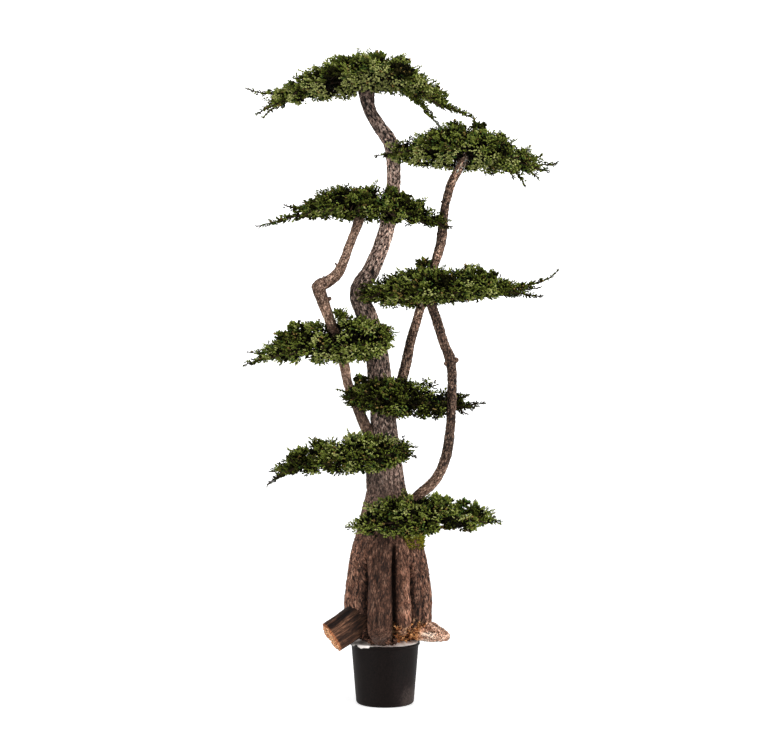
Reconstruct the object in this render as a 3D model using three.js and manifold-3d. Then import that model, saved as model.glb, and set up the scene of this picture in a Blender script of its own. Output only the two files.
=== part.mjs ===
// Juniper bonsai in a nursery pot: a bent trunk on a ring of root columns, three boughs and eight
// pads of juniper foliage, standing in a black plastic pot that is filled with plaster.
// Millimetres, +Z up. The origin is the centre of the pot's flat underside, and the tree faces -Y.

import * as THREE from 'three';
import { mergeVertices } from 'three/addons/utils/BufferGeometryUtils.js';
import Module from 'manifold-3d';

const wasm = await Module();
wasm.setup();

// Driving dimensions

const GAP = 0.3; // left between two pieces that touch
const CLEAR = 3; // kept between foliage and a limb that passes through it
const FINEST = 0.4; // the smallest facet that stays where the pieces of a pad fuse

const POT = {
  height: 185,
  baseRadius: 88,
  topRadius: 102,
  lipRadius: 106,
  lipHeight: 7,
  corner: 7,
  wall: 2.2,
  floor: 3,
  sides: 36,
};
const GROUND = POT.height + GAP; // the trunk's flat cut, on the plaster

// A limb is a list of stations along its centre line: x, y, z and the limb's radius there.
const TRUNK = {
  sides: 28,
  ringsPerStation: 2,
  stations: [
    [13, 0, GROUND, 62],
    [13, 0, 290, 62],
    [13, 0, 400, 62],
    [12, 0, 510, 63],
    [6, -4, 610, 62],
    [-2, -6, 720, 54],
    [-3, 0, 840, 40],
    [-11, 6, 960, 35],
    [-23, 6, 1068, 33],
    [-49, 2, 1156, 31],
    [-80, 0, 1242, 29.5],
    [-45, 2, 1312, 26],
    [-11, 4, 1392, 24.5],
    [11, 4, 1464, 23],
    [25, 2, 1560, 21.5],
    [25, 0, 1640, 21.5],
    [18, -2, 1696, 21.5],
    [-12, -4, 1746, 20],
    [-43, -8, 1796, 19],
    [-54, -10, 1852, 22],
  ],
};

// The trunk's foot widens into root columns, parted by deep grooves that die out further up.
const FLARE = { foot: GROUND, widest: 255, top: 640, width: 68 };
const GROOVE = { depth: 46, fade: 90, footDepth: 16 };
// Grooves round the foot: degrees from the front towards +X, and the height where each one ends.
const GROOVES = [
  { angle: -125, top: 450 },
  { angle: -39, top: 447 },
  { angle: 9.5, top: 480 },
  { angle: 37.5, top: 420 },
  { angle: 112, top: 450 },
  { angle: 160, top: 470 },
  { angle: 202, top: 440 },
];

const ROOTS = [
  {
    name: 'root_left',
    sides: 14,
    flat: 1,
    stations: [
      [-20, 5, 292, 34],
      [-78, -36, 258, 46],
      [-121, -56, 228, 48],
      [-160, -66, 204, 48],
    ],
  },
  {
    name: 'root_right',
    sides: 12,
    ringsPerStation: 2,
    flat: 1.25,
    stations: [
      [62, -18, 236, 32],
      [104, -34, 228, 33],
      [142, -42, 219, 29],
      [172, -48, 211, 20],
      [196, -52, 206, 9],
    ],
  },
];

// A bough that goes on after a bend is a limb of its own, named after the one it grows out of.
// Stubs are cut twigs: the share of the limb's length, the degrees round it, and how far they stand out.
const BOUGHS = [
  {
    name: 'bough_left_lower',
    sides: 10,
    stations: [
      [-20, -12, 758, 16],
      [-52, -18, 820, 17],
      [-82, -12, 892, 16],
      [-110, -5, 960, 15],
      [-125, -15, 1023, 15.5],
      [-140, -35, 1084, 15],
      [-164, -50, 1153, 15],
      [-187, -55, 1218, 17.5],
      [-199, -56, 1264, 18],
    ],
    stubs: [{ share: 0.9, turn: 90, length: 34, radius: 6 }],
  },
  {
    name: 'bough_left_upper',
    after: 'bough_left_lower',
    sides: 10,
    stations: [
      [-196, -56, 1262, 15],
      [-169, -59, 1277, 17],
      [-139, -63, 1297, 16.5],
      [-122, -72, 1336, 14.5],
      [-109, -80, 1376, 14],
      [-93, -90, 1414, 13.5],
      [-79, -95, 1450, 15.5],
    ],
    stubs: [{ share: 0.5, turn: -90, length: 26, radius: 3.5 }],
  },
  {
    name: 'bough_right_inner',
    sides: 10,
    stations: [
      [2, 4, 826, 18],
      [36, 5, 917, 16.5],
      [60, 0, 1013, 16],
      [77, -8, 1094, 14.5],
      [94, -14, 1159, 14],
      [113, -20, 1223, 13.5],
      [139, -25, 1295, 13],
      [158, -30, 1350, 13.5],
      [171, -32, 1402, 15],
      [174, -35, 1456, 14],
      [182, -38, 1514, 13],
      [197, -42, 1571, 12],
      [219, -47, 1610, 12.5],
      [231, -50, 1638, 15],
    ],
    stubs: [],
  },
  {
    name: 'bough_right_lower',
    sides: 10,
    stations: [
      [30, -22, 566, 16],
      [72, -35, 600, 16],
      [104, -42, 634, 16.5],
      [134, -48, 659, 15],
      [159, -55, 692, 15],
      [180, -60, 741, 15.5],
      [190, -65, 804, 15.5],
      [196, -68, 872, 15],
      [200, -70, 941, 14.5],
      [197, -70, 1008, 14.5],
      [191, -70, 1054, 17],
    ],
    stubs: [
      { share: 0.97, turn: 90, length: 34, radius: 9 },
      { share: 0.955, turn: -90, length: 27, radius: 8 },
    ],
  },
  {
    name: 'bough_right_upper',
    after: 'bough_right_lower',
    sides: 10,
    stations: [
      [193, -70, 1040, 16],
      [182, -70, 1084, 14],
      [167, -68, 1135, 13.5],
      [150, -66, 1181, 13],
      [138, -64, 1213, 13.5],
    ],
    stubs: [],
  },
];

// A pad fans out of its hub, which a stem joins to the limb that carries it, from the stem's height on
// that limb. The pad reaches left, right, front and back of the hub, rises up and sinks down from it,
// and drops (or rises) towards its ends.
// Tails are longer thin shoots: degrees in plan from +X towards +Y, the reach and the drop at the tip.
const PADS = [
  {
    name: 'foliage_top', limb: 'trunk', stemFrom: 1852, seed: 11,
    hub: [-50, -10, 1870], left: 290, right: 250, front: 200, back: 190,
    up: 92, down: 20, leftDrop: -46, rightDrop: -66,
    tails: [[183, 372, -14], [190, 330, -96], [175, 318, -88], [356, 322, -106], [18, 262, -118]],
  },
  {
    name: 'foliage_upper_right', limb: 'bough_right_inner', stemFrom: 1638, seed: 23,
    hub: [230, -50, 1660], left: 198, right: 250, front: 150, back: 140,
    up: 78, down: 40, leftDrop: -5, rightDrop: -42,
    tails: [[184, 264, -12], [0, 284, -32], [338, 205, -92]],
  },
  {
    name: 'foliage_upper_left', limb: 'bough_left_upper', stemFrom: 1450, seed: 37,
    hub: [-78, -95, 1470], left: 160, right: 235, front: 135, back: 120,
    up: 80, down: 22, leftDrop: -6, rightDrop: -26,
    tails: [[183, 304, -38], [176, 224, 26], [356, 274, -38]],
  },
  {
    name: 'foliage_middle_right', limb: 'bough_right_upper', stemFrom: 1213, seed: 41,
    hub: [136, -64, 1230], left: 184, right: 272, front: 150, back: 135,
    up: 82, down: 30, leftDrop: -8, rightDrop: 40,
    tails: [[183, 226, 8], [1, 382, 78], [354, 346, 36]],
  },
  {
    name: 'foliage_middle_left', limb: 'bough_left_lower', stemFrom: 1064, seed: 59,
    hub: [-118, -62, 1078], left: 222, right: 152, front: 135, back: 130,
    up: 88, down: 42, leftDrop: -22, rightDrop: 16,
    tails: [[181, 308, -58], [187, 296, -16]],
  },
  {
    name: 'foliage_centre', limb: 'trunk', stemFrom: 908, seed: 67,
    hub: [30, -76, 926], left: 148, right: 190, front: 125, back: 120,
    up: 56, down: 50, leftDrop: -2, rightDrop: -28,
    tails: [[16, 286, -22], [24, 238, 2], [186, 160, -8], [344, 122, -62]],
  },
  {
    name: 'foliage_lower_left', limb: 'trunk', stemFrom: 738, seed: 73,
    hub: [-84, -76, 758], left: 226, right: 166, front: 130, back: 100,
    up: 56, down: 52, leftDrop: -44, rightDrop: 4,
    tails: [[183, 268, -92], [176, 244, -78], [352, 178, -8]],
  },
  {
    name: 'foliage_lower_right', limb: 'trunk', stemFrom: 552, seed: 89,
    hub: [78, -140, 575], left: 176, right: 238, front: 105, back: 80,
    up: 58, down: 44, leftDrop: -30, rightDrop: -8,
    tails: [[184, 196, -30], [4, 254, 4]],
  },
];
const LOBE = { amount: 0.09, counts: [3, 5] }; // how far a pad's plan outline waves in and out
const CORE = { plan: 0.9, height: 0.88, around: 16, lump: 0.24 }; // the dense middle of a pad
const STEM = { sides: 6, radius: 9, tip: 6 };
const SHOOT = { count: 8, radius: 4.5, tip: 1.5, lift: 0.42, spread: 0.5 };
const SPRAY = { length: 40, width: 0.7, thick: 0.09, sink: 14, stand: 22 };
const SPRAYS = { top: 12, under: 4, perShoot: 2, perTail: 3 };

const COLOURS = {
  pot: { color: 0x1c1a1a, roughness: 0.55, metalness: 0 },
  plaster: { color: 0xb9b0a8, roughness: 0.9, metalness: 0 },
  bark: { color: 0x6b5547, roughness: 0.95, metalness: 0 },
  rootWood: { color: 0x8a6248, roughness: 0.95, metalness: 0 },
  foliage: { color: 0x3b4a1e, roughness: 0.8, metalness: 0 },
};

// Small helpers

const radians = THREE.MathUtils.degToRad;
const vector = ([x, y, z]) => new THREE.Vector3(x, y, z);
const UP = new THREE.Vector3(0, 0, 1);
const FRONT = new THREE.Vector3(0, -1, 0);

// The same draws for the same seed, between 0 and 1.
function seededRandom(seed) {
  let state = seed;
  const draw = () => {
    state = (Math.imul(state, 1664525) + 1013904223) >>> 0;
    return state / 4294967296;
  };
  for (let i = 0; i < 8; i++) draw();
  return draw;
}

// A closed geometry as a solid that can be joined and cut.
function solidOf(geometry) {
  const bare = new THREE.BufferGeometry();
  bare.setAttribute('position', geometry.getAttribute('position'));
  if (geometry.index) bare.setIndex(geometry.index);
  const merged = mergeVertices(bare, 1e-4);
  const corners = merged.index.array;
  const kept = [];
  for (let i = 0; i < corners.length; i += 3) {
    const [a, b, c] = corners.slice(i, i + 3);
    if (a !== b && b !== c && c !== a) kept.push(a, b, c);
  }
  return new wasm.Manifold(
    new wasm.Mesh({
      numProp: 3,
      vertProperties: merged.getAttribute('position').array,
      triVerts: new Uint32Array(kept),
    }),
  );
}

// The largest body of a solid, without loose scraps.
function largestBody(solid) {
  return solid.decompose().sort((a, b) => b.volume() - a.volume())[0];
}

// Rings of as many points each, joined into a skin and closed by a fan at both ends.
function loft(rings) {
  const sides = rings[0].length;
  const points = rings.flat();
  const index = [];
  for (let i = 0; i + 1 < rings.length; i++) {
    for (let j = 0; j < sides; j++) {
      const a = i * sides + j;
      const b = i * sides + ((j + 1) % sides);
      index.push(a, b, b + sides, a, b + sides, a + sides);
    }
  }
  const middle = (ring) =>
    ring.reduce((sum, p) => sum.add(p), new THREE.Vector3()).divideScalar(sides);
  const last = (rings.length - 1) * sides;
  points.push(middle(rings[0]), middle(rings[rings.length - 1]));
  for (let j = 0; j < sides; j++) {
    const next = (j + 1) % sides;
    index.push(points.length - 2, next, j);
    index.push(points.length - 1, last + j, last + next);
  }
  return new THREE.BufferGeometry().setFromPoints(points).setIndex(index);
}

// Limbs

// A limb's centre line and radius, by its share from 0 to 1 along the stations.
function limbPath(stations) {
  const line = new THREE.CatmullRomCurve3(stations.map(vector), false, 'catmullrom');
  const size = new THREE.CatmullRomCurve3(
    stations.map((s) => new THREE.Vector3(s[3], 0, 0)),
    false,
    'catmullrom',
  );
  return {
    at: (share) => line.getPoint(share),
    tangent: (share) => line.getTangent(share),
    radius: (share) => size.getPoint(share).x,
  };
}

// Rings round a limb, grown by some thickness. section(angle, centre, radius) shapes each ring, with
// the angle counted from the front towards +X where the limb stands upright.
function limbRings({ stations, sides, ringsPerStation = 1 }, grow, section, angles) {
  const path = limbPath(stations);
  const rings = (stations.length - 1) * ringsPerStation;
  const turns = angles ?? Array.from({ length: sides }, (_, j) => (2 * Math.PI * j) / sides);
  const made = [];
  let front = FRONT.clone();
  for (let i = 0; i <= rings; i++) {
    const share = i / rings;
    const along = path.tangent(share);
    front = front.addScaledVector(along, -front.dot(along)).normalize();
    const side = along.clone().cross(front);
    const end = i === 0 ? -1 : i === rings ? 1 : 0;
    const centre = path.at(share);
    const ringCentre = centre.clone().addScaledVector(along, end * grow);
    made.push(
      turns.map((angle) => {
        const reach = section(angle, centre, path.radius(share)) + grow;
        return ringCentre
          .clone()
          .addScaledVector(front, reach * Math.cos(angle))
          .addScaledVector(side, reach * Math.sin(angle));
      }),
    );
  }
  return made;
}

const roundSection = (angle, centre, radius) => radius;

// How much the foot adds to the trunk's radius at a height.
function flareAt(z) {
  const { foot, widest, top, width } = FLARE;
  if (z >= top) return 0;
  const share = z < widest ? (widest - z) / (widest - foot) : (z - widest) / (top - widest);
  return width * Math.cos((Math.PI / 2) * share);
}

// How deep a groove is at a height: it fades in below its top and is shallow again at the foot.
function grooveDepth(groove, z) {
  const fade = THREE.MathUtils.smoothstep(groove.top - z, 0, GROOVE.fade);
  const rise = THREE.MathUtils.smoothstep(z, FLARE.foot, FLARE.widest);
  return fade * THREE.MathUtils.lerp(GROOVE.footDepth, GROOVE.depth, rise);
}

// The trunk's radius in a direction: round above, and a ring of rounded columns at the foot.
function trunkSection(angle, centre, radius) {
  const full = radius + flareAt(centre.z);
  const turn = THREE.MathUtils.euclideanModulo(
    THREE.MathUtils.radToDeg(angle) - GROOVES[0].angle,
    360,
  );
  const starts = GROOVES.map((g) => g.angle - GROOVES[0].angle);
  const i = starts.findLastIndex((start) => start <= turn + 1e-6);
  const j = (i + 1) % GROOVES.length;
  const end = j === 0 ? 360 : starts[j];
  const across = (2 * (turn - starts[i])) / (end - starts[i]) - 1;
  const groove = across < 0 ? GROOVES[i] : GROOVES[j];
  const sunk = 1 - Math.sqrt(Math.max(0, 1 - across * across));
  return full - grooveDepth(groove, centre.z) * sunk;
}

// Angles of the trunk's sides: the same number in each column, with one on every groove.
function columnAngles() {
  const perColumn = TRUNK.sides / GROOVES.length;
  return GROOVES.flatMap((groove, i) => {
    const next = i + 1 < GROOVES.length ? GROOVES[i + 1].angle : GROOVES[0].angle + 360;
    return Array.from({ length: perColumn }, (_, k) =>
      radians(groove.angle + ((next - groove.angle) * k) / perColumn),
    );
  });
}

function trunkSolid(grow = 0) {
  return solidOf(loft(limbRings(TRUNK, grow, trunkSection, columnAngles())));
}

function roundLimbSolid(limb, grow = 0) {
  return solidOf(loft(limbRings(limb, grow, roundSection)));
}

// A cut twig that stands out of a limb, square to it.
function stubSolid(limb, { share, turn, length, radius }, grow) {
  const path = limbPath(limb.stations);
  const along = path.tangent(share);
  const front = FRONT.clone().addScaledVector(along, -FRONT.dot(along)).normalize();
  const out = front.applyAxisAngle(along, radians(turn)).addScaledVector(along, 0.35).normalize();
  const root = path.at(share);
  const tip = root.clone().addScaledVector(out, length);
  const stations = [[...root, radius * 1.3], [...tip, radius]];
  return roundLimbSolid({ stations, sides: 6 }, grow);
}

function boughSolid(bough, grow = 0) {
  return bough.stubs.reduce(
    (joined, stub) => joined.add(stubSolid(bough, stub, grow)),
    roundLimbSolid(bough, grow),
  );
}

const cutBy = (solid, cutters) => cutters.reduce((left, cutter) => left.subtract(cutter), solid);

// A root is a thick stump: wider than high where it is flattened, and clear of the trunk and the pot.
function rootSolid(root, cutters) {
  const flatten = (angle, centre, radius) => radius * Math.hypot(Math.cos(angle) * root.flat, Math.sin(angle));
  const stump = solidOf(loft(limbRings(root, 0, flatten)));
  return largestBody(cutBy(stump, cutters));
}

// The pot and its filling

function turned(profile) {
  const points = profile.map(([radius, z]) => new THREE.Vector2(radius, z));
  return solidOf(new THREE.LatheGeometry(points, POT.sides).rotateX(Math.PI / 2));
}

function potSolid() {
  const { height, baseRadius, topRadius, lipRadius, lipHeight, corner, wall, floor } = POT;
  const cut = corner * (1 - Math.SQRT1_2);
  return turned([
    [0, 0],
    [baseRadius - corner, 0],
    [baseRadius - cut, cut],
    [baseRadius, corner],
    [topRadius, height - lipHeight],
    [lipRadius, height - lipHeight],
    [lipRadius, height],
    [topRadius - wall, height],
    [baseRadius - wall, floor],
    [0, floor],
  ]);
}

function plasterSolid() {
  const { height, baseRadius, topRadius, wall, floor } = POT;
  return turned([
    [0, floor + GAP],
    [baseRadius - wall - 2 * GAP, floor + GAP],
    [topRadius - wall - 2 * GAP, height],
    [0, height],
  ]);
}

// A plain drum round the pot, to cut the roots clear of it.
function potEnvelope() {
  const { height, lipRadius } = POT;
  return turned([
    [0, 0],
    [lipRadius + GAP, 0],
    [lipRadius + GAP, height + GAP],
    [0, height + GAP],
  ]);
}

// Foliage

// How far a pad reaches from its hub in a direction of the plan.
function padReach(pad, heading) {
  const across = Math.cos(heading) / (Math.cos(heading) < 0 ? pad.left : pad.right);
  const deep = Math.sin(heading) / (Math.sin(heading) < 0 ? pad.front : pad.back);
  const waves = LOBE.counts.reduce((sum, n) => sum + Math.cos(n * heading + pad.seed), 0);
  return (1 + LOBE.amount * (waves / LOBE.counts.length)) / Math.hypot(across, deep);
}

// A point of a pad: share from the hub to the outline, and lift from its floor (0) to its top (1).
function padPoint(pad, heading, share, lift) {
  const reach = padReach(pad, heading) * share;
  const toEnd = Math.cos(heading) < 0 ? pad.leftDrop : pad.rightDrop;
  const drop = toEnd * Math.cos(heading) ** 2 * share ** 2;
  const open = Math.max(0, 1 - share ** 3);
  const floor = drop - pad.down * open ** 0.6;
  const top = drop + pad.up * open ** 0.75;
  return new THREE.Vector3(
    pad.hub[0] + reach * Math.cos(heading),
    pad.hub[1] + reach * Math.sin(heading),
    pad.hub[2] + THREE.MathUtils.lerp(floor, top, lift),
  );
}

// The dense middle of a pad: a lumpy lens inside the pad's own outline.
function coreGeometry(pad, random) {
  const low = (1 - CORE.height) / 2;
  const levels = [
    [0.5, low],
    [0.86, 0.3],
    [1, 0.5],
    [0.82, 0.5 + CORE.height / 3],
    [0.42, 1 - low],
  ];
  const rings = levels.map(([share, lift]) =>
    Array.from({ length: CORE.around }, (_, j) => {
      const lump = 1 + CORE.lump * (random() - 0.5);
      return padPoint(pad, (2 * Math.PI * j) / CORE.around, CORE.plan * share * lump, lift);
    }),
  );
  return loft(rings);
}

// A spray of needles: a blade with three points, thickest along its rib.
function sprayGeometry({ root, way, roll, length }) {
  const across = new THREE.Vector3().crossVectors(way, UP).normalize().applyAxisAngle(way, roll);
  const over = new THREE.Vector3().crossVectors(way, across);
  const half = (SPRAY.width * length) / 2;
  const place = (u, v, w) =>
    root.clone().addScaledVector(way, u * length).addScaledVector(across, v * half)
      .addScaledVector(over, w * SPRAY.thick * length);
  const outline = [[0, 0], [0.52, 1], [0.62, 0.4], [1, 0], [0.62, -0.4], [0.52, -1]];
  const points = outline.map(([u, v]) => place(u, v, 0));
  points.push(place(0.45, 0, 1), place(0.45, 0, -1));
  const index = [];
  for (let i = 0; i < outline.length; i++) {
    const next = (i + 1) % outline.length;
    index.push(i, outline.length, next, next, outline.length + 1, i);
  }
  return new THREE.BufferGeometry().setFromPoints(points).setIndex(index);
}

// A thin shoot through some points, three-sided and tapering.
function shootGeometry(points) {
  const stations = points.map((p, i) => [
    ...p,
    THREE.MathUtils.lerp(SHOOT.radius, SHOOT.tip, i / (points.length - 1)),
  ]);
  return loft(limbRings({ stations, sides: 3 }, 0, roundSection));
}

// The main shoots fan out evenly from the hub and end at the pad's outline.
function mainShoots(pad, random) {
  return Array.from({ length: SHOOT.count }, (_, i) => {
    const heading = (2 * Math.PI * (i + SHOOT.spread * (random() - 0.5))) / SHOOT.count;
    const full = 0.98 + 0.1 * random();
    const points = [0.1, 0.45, 0.75, 1].map((s) => padPoint(pad, heading, s * full, SHOOT.lift));
    return { points, sprays: SPRAYS.perShoot, from: 0.84 };
  });
}

// Tails leave the pad's middle and hang or lift more and more towards their tips.
function tailShoots(pad) {
  return pad.tails.map(([degrees, reach, drop]) => {
    const heading = radians(degrees);
    const out = new THREE.Vector3(Math.cos(heading), Math.sin(heading), 0);
    const tip = vector(pad.hub).addScaledVector(out, reach).addScaledVector(UP, drop);
    const root = padPoint(pad, heading, 0.5, SHOOT.lift);
    const points = [0, 0.4, 0.7, 1].map((s) => {
      const point = root.clone().lerp(tip, s);
      point.z = THREE.MathUtils.lerp(root.z, tip.z, s ** 1.6);
      return point;
    });
    return { points, sprays: SPRAYS.perTail, from: 0.5 };
  });
}

// Sprays stand on both sides of a shoot's outer part, and one ends it.
function spraysOnShoot({ points, sprays, from }, random) {
  const line = new THREE.CatmullRomCurve3(points, false, 'catmullrom');
  const end = 1 - (0.9 * SPRAY.length) / line.getLength();
  return Array.from({ length: sprays }, (_, k) => {
    const share = THREE.MathUtils.lerp(from, end, k / (sprays - 1));
    const last = k === sprays - 1;
    const side = last ? 0 : (k % 2 ? 1 : -1) * (0.7 + 0.3 * random());
    const along = line.getTangent(share);
    const way = along.clone().applyAxisAngle(UP, side).add(new THREE.Vector3(0, 0, 0.2 * random()));
    const length = SPRAY.length * (last ? 0.9 : 0.7 + 0.3 * random());
    return { root: line.getPoint(share), way: way.normalize(), roll: 0.6 * (random() - 0.5), length };
  });
}

// Sprays stand out of the core's top and underside, in a spiral that spaces them evenly.
function spraysOnCore(pad, count, upper, random) {
  const golden = Math.PI * (3 - Math.sqrt(5));
  return Array.from({ length: count }, (_, k) => {
    const heading = k * golden + pad.seed;
    const share = 0.84 * Math.sqrt((k + 0.5) / count);
    const inside = padPoint(pad, heading, share * CORE.plan, 0.5);
    const outside = padPoint(pad, heading, share + 0.08, upper ? 1 : 0);
    const sway = new THREE.Vector3(random() - 0.5, random() - 0.5, upper ? 1 : -0.6);
    const way = outside.addScaledVector(sway, SPRAY.stand).sub(inside);
    const reach = way.length();
    const length = Math.min(reach, SPRAY.length + SPRAY.sink);
    way.normalize();
    const root = inside.addScaledVector(way, reach - length);
    return { root, way, roll: Math.PI * random(), length };
  });
}

// True where every part of a spray or shoot keeps clear of the limbs.
function clearOfLimbs(points, margin) {
  return points.every((p) =>
    limbSamples.every(({ centre, radius }) => p.distanceTo(centre) > radius + margin),
  );
}

const sprayPoints = ({ root, way, length }) =>
  [0, 0.35, 0.7, 1].map((s) => root.clone().addScaledVector(way, s * length));

// The point of a limb's centre line at a height; a limb rises all along.
function limbPointAtHeight(limb, z) {
  const path = limbPath(limb.stations);
  let [low, high] = [0, 1];
  for (let i = 0; i < 24; i++) {
    const middle = (low + high) / 2;
    if (path.at(middle).z < z) low = middle;
    else high = middle;
  }
  return path.at(high);
}

function stemSolid(pad) {
  const limb = pad.limb === 'trunk' ? TRUNK : BOUGHS.find((b) => b.name === pad.limb);
  const root = limbPointAtHeight(limb, pad.stemFrom);
  const middle = padPoint(pad, 0, 0, 0.5);
  const stations = [[...root, STEM.radius], [...middle, STEM.tip]];
  return roundLimbSolid({ stations, sides: STEM.sides });
}

function padSolid(pad, limbsClear, limbsTouching) {
  const random = seededRandom(pad.seed);
  const shoots = [...mainShoots(pad, random), ...tailShoots(pad)];
  const kept = shoots.filter((s) => clearOfLimbs(s.points.slice(1), SHOOT.radius + CLEAR));
  const sprays = [
    ...kept.flatMap((shoot) => spraysOnShoot(shoot, random)),
    ...spraysOnCore(pad, SPRAYS.top, true, random),
    ...spraysOnCore(pad, SPRAYS.under, false, random),
  ].filter((spray) => clearOfLimbs(sprayPoints(spray), (SPRAY.width / 2) * spray.length + CLEAR));
  const core = solidOf(coreGeometry(pad, random));
  const pieces = [
    largestBody(cutBy(core, limbsClear)),
    ...kept.map((shoot) => cutBy(solidOf(shootGeometry(shoot.points)), limbsClear)),
    ...sprays.map((spray) => solidOf(sprayGeometry(spray))),
  ];
  const fused = wasm.Manifold.union(pieces).asOriginal().simplify(FINEST);
  return largestBody(fused.add(cutBy(stemSolid(pad), limbsTouching)));
}

// The assembly

const limbs = [TRUNK, ...ROOTS, ...BOUGHS];
const LIMB_SAMPLES = 80;
const limbSamples = limbs.flatMap((limb) => {
  const path = limbPath(limb.stations);
  return Array.from({ length: LIMB_SAMPLES + 1 }, (_, i) => {
    const centre = path.at(i / LIMB_SAMPLES);
    const flare = limb === TRUNK ? flareAt(centre.z) : 0;
    return { centre, radius: path.radius(i / LIMB_SAMPLES) + flare };
  });
});

// A named mesh whose own origin is at a place of the part, such as the foot of a limb.
function place(name, solid, at, look) {
  const { vertProperties, triVerts } = solid.getMesh();
  const geometry = new THREE.BufferGeometry();
  geometry.setAttribute('position', new THREE.BufferAttribute(vertProperties, 3));
  geometry.setIndex(new THREE.BufferAttribute(triVerts, 1));
  geometry.translate(-at[0], -at[1], -at[2]);
  geometry.computeVertexNormals();
  const mesh = new THREE.Mesh(geometry, new THREE.MeshStandardMaterial(look));
  mesh.name = name;
  mesh.position.set(...at);
  return mesh;
}

const wood = new THREE.Group();
const trunkTouching = trunkSolid(GAP);
const potTouching = potEnvelope();
wood.add(place('trunk', trunkSolid(), TRUNK.stations[0].slice(0, 3), COLOURS.bark));
for (const root of ROOTS) {
  const solid = rootSolid(root, [trunkTouching, potTouching]);
  wood.add(place(root.name, solid, root.stations[0].slice(0, 3), COLOURS.rootWood));
}
for (const bough of BOUGHS) {
  const earlier = BOUGHS.filter((other) => other.name === bough.after);
  const cutters = [trunkTouching, ...earlier.map((other) => boughSolid(other, GAP))];
  const solid = largestBody(cutBy(boughSolid(bough), cutters));
  wood.add(place(bough.name, solid, bough.stations[0].slice(0, 3), COLOURS.bark));
}

const crown = new THREE.Group();
const limbsGrown = (grow) => [
  trunkSolid(grow),
  ...BOUGHS.map((bough) => boughSolid(bough, grow)),
];
const limbsClear = limbsGrown(CLEAR);
const limbsTouching = limbsGrown(GAP);
for (const pad of PADS) {
  crown.add(place(pad.name, padSolid(pad, limbsClear, limbsTouching), pad.hub, COLOURS.foliage));
}

const holder = new THREE.Group();
holder.add(place('pot', potSolid(), [0, 0, 0], COLOURS.pot));
holder.add(place('pot_filling', plasterSolid(), [0, 0, POT.floor], COLOURS.plaster));

const bonsai = new THREE.Group();
bonsai.name = 'juniper_bonsai';
bonsai.add(holder, wood, crown);

export default bonsai;
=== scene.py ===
"""Juniper bonsai in a nursery pot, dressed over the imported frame.

Sizes are in millimetres, as in the part, and become metres when a mesh is made.
Angles round a limb are measured from the front (-Y) towards its side.
"""
import itertools
import math

import bpy
import numpy as np
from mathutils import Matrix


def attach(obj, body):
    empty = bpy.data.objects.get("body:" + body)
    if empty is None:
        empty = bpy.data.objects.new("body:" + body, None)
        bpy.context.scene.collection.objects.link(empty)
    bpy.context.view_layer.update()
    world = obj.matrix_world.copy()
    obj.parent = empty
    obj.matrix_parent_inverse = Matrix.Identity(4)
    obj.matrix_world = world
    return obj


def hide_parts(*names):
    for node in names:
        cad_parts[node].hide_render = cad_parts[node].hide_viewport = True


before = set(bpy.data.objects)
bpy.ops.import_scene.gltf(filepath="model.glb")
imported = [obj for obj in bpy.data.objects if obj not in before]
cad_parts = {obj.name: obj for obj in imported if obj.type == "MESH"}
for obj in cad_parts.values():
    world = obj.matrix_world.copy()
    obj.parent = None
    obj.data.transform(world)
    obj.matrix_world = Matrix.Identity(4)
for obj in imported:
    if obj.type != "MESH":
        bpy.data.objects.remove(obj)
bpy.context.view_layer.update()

MM = 0.001
BODY = "root"

# The limbs of the part: centre and radius at every station.
# The trunk and the boughs end inside their masses.
TRUNK = (
    (11, 0, 185.3, 62), (11, 0, 290, 63), (11, 0, 400, 63), (11, 0, 510, 63), (5, -4, 610, 62),
    (-2, -6, 720, 54), (-4, 0, 840, 40), (-15, 6, 960, 37), (-26, 6, 1068, 34), (-49, 2, 1156, 31),
    (-78, 0, 1242, 29.5), (-41, 2, 1312, 26), (-8, 4, 1392, 24.5), (11, 4, 1464, 23), (25, 2, 1560, 21.5),
    (25, 0, 1640, 21.5), (16, -2, 1696, 22), (-18, -4, 1746, 20.5), (-47, -8, 1796, 19), (-56, -10, 1852, 25),
    (-57, -11, 1888, 21),
)
LEFT = (
    (-20, -12, 758, 16), (-52, -18, 820, 17), (-82, -12, 892, 16), (-110, -5, 960, 15),
    (-123, -15, 1023, 15.5), (-140, -35, 1084, 15), (-164, -50, 1153, 15), (-188, -55, 1218, 18),
    (-197, -56, 1256, 21), (-172, -59, 1271, 18), (-142, -63, 1297, 16.5), (-122, -72, 1336, 14.5),
    (-108, -80, 1376, 14), (-92, -90, 1414, 13.5), (-79, -95, 1450, 15.5), (-74, -97, 1486, 11),
)
RIGHT_INNER = (
    (2, 4, 826, 18), (36, 5, 917, 16.5), (60, 0, 1013, 16), (78, -8, 1094, 14.5), (97, -14, 1159, 14),
    (115, -20, 1223, 13.5), (139, -25, 1295, 13.5), (157, -30, 1350, 14), (170, -32, 1402, 15),
    (175, -35, 1456, 14), (184, -38, 1514, 13), (200, -42, 1571, 12.5), (222, -47, 1610, 13),
    (234, -50, 1638, 15), (242, -51, 1672, 11),
)
RIGHT_OUTER = (
    (30, -22, 566, 16), (72, -35, 600, 16), (104, -42, 634, 16.5), (134, -48, 659, 15.5),
    (159, -55, 692, 15.5), (180, -60, 741, 15.5), (192, -65, 804, 15.5), (197, -68, 872, 15),
    (200, -70, 941, 14.5), (199, -70, 1008, 14.5), (192, -70, 1046, 17), (177, -70, 1084, 14.5),
    (161, -68, 1135, 14.5), (146, -66, 1181, 14.5), (136, -64, 1213, 14), (131, -64, 1244, 10),
)
ROOT_LEFT = ((-20, 5, 296, 36), (-80, -36, 261, 47), (-124, -56, 231, 48), (-161, -69, 207, 47))
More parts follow.
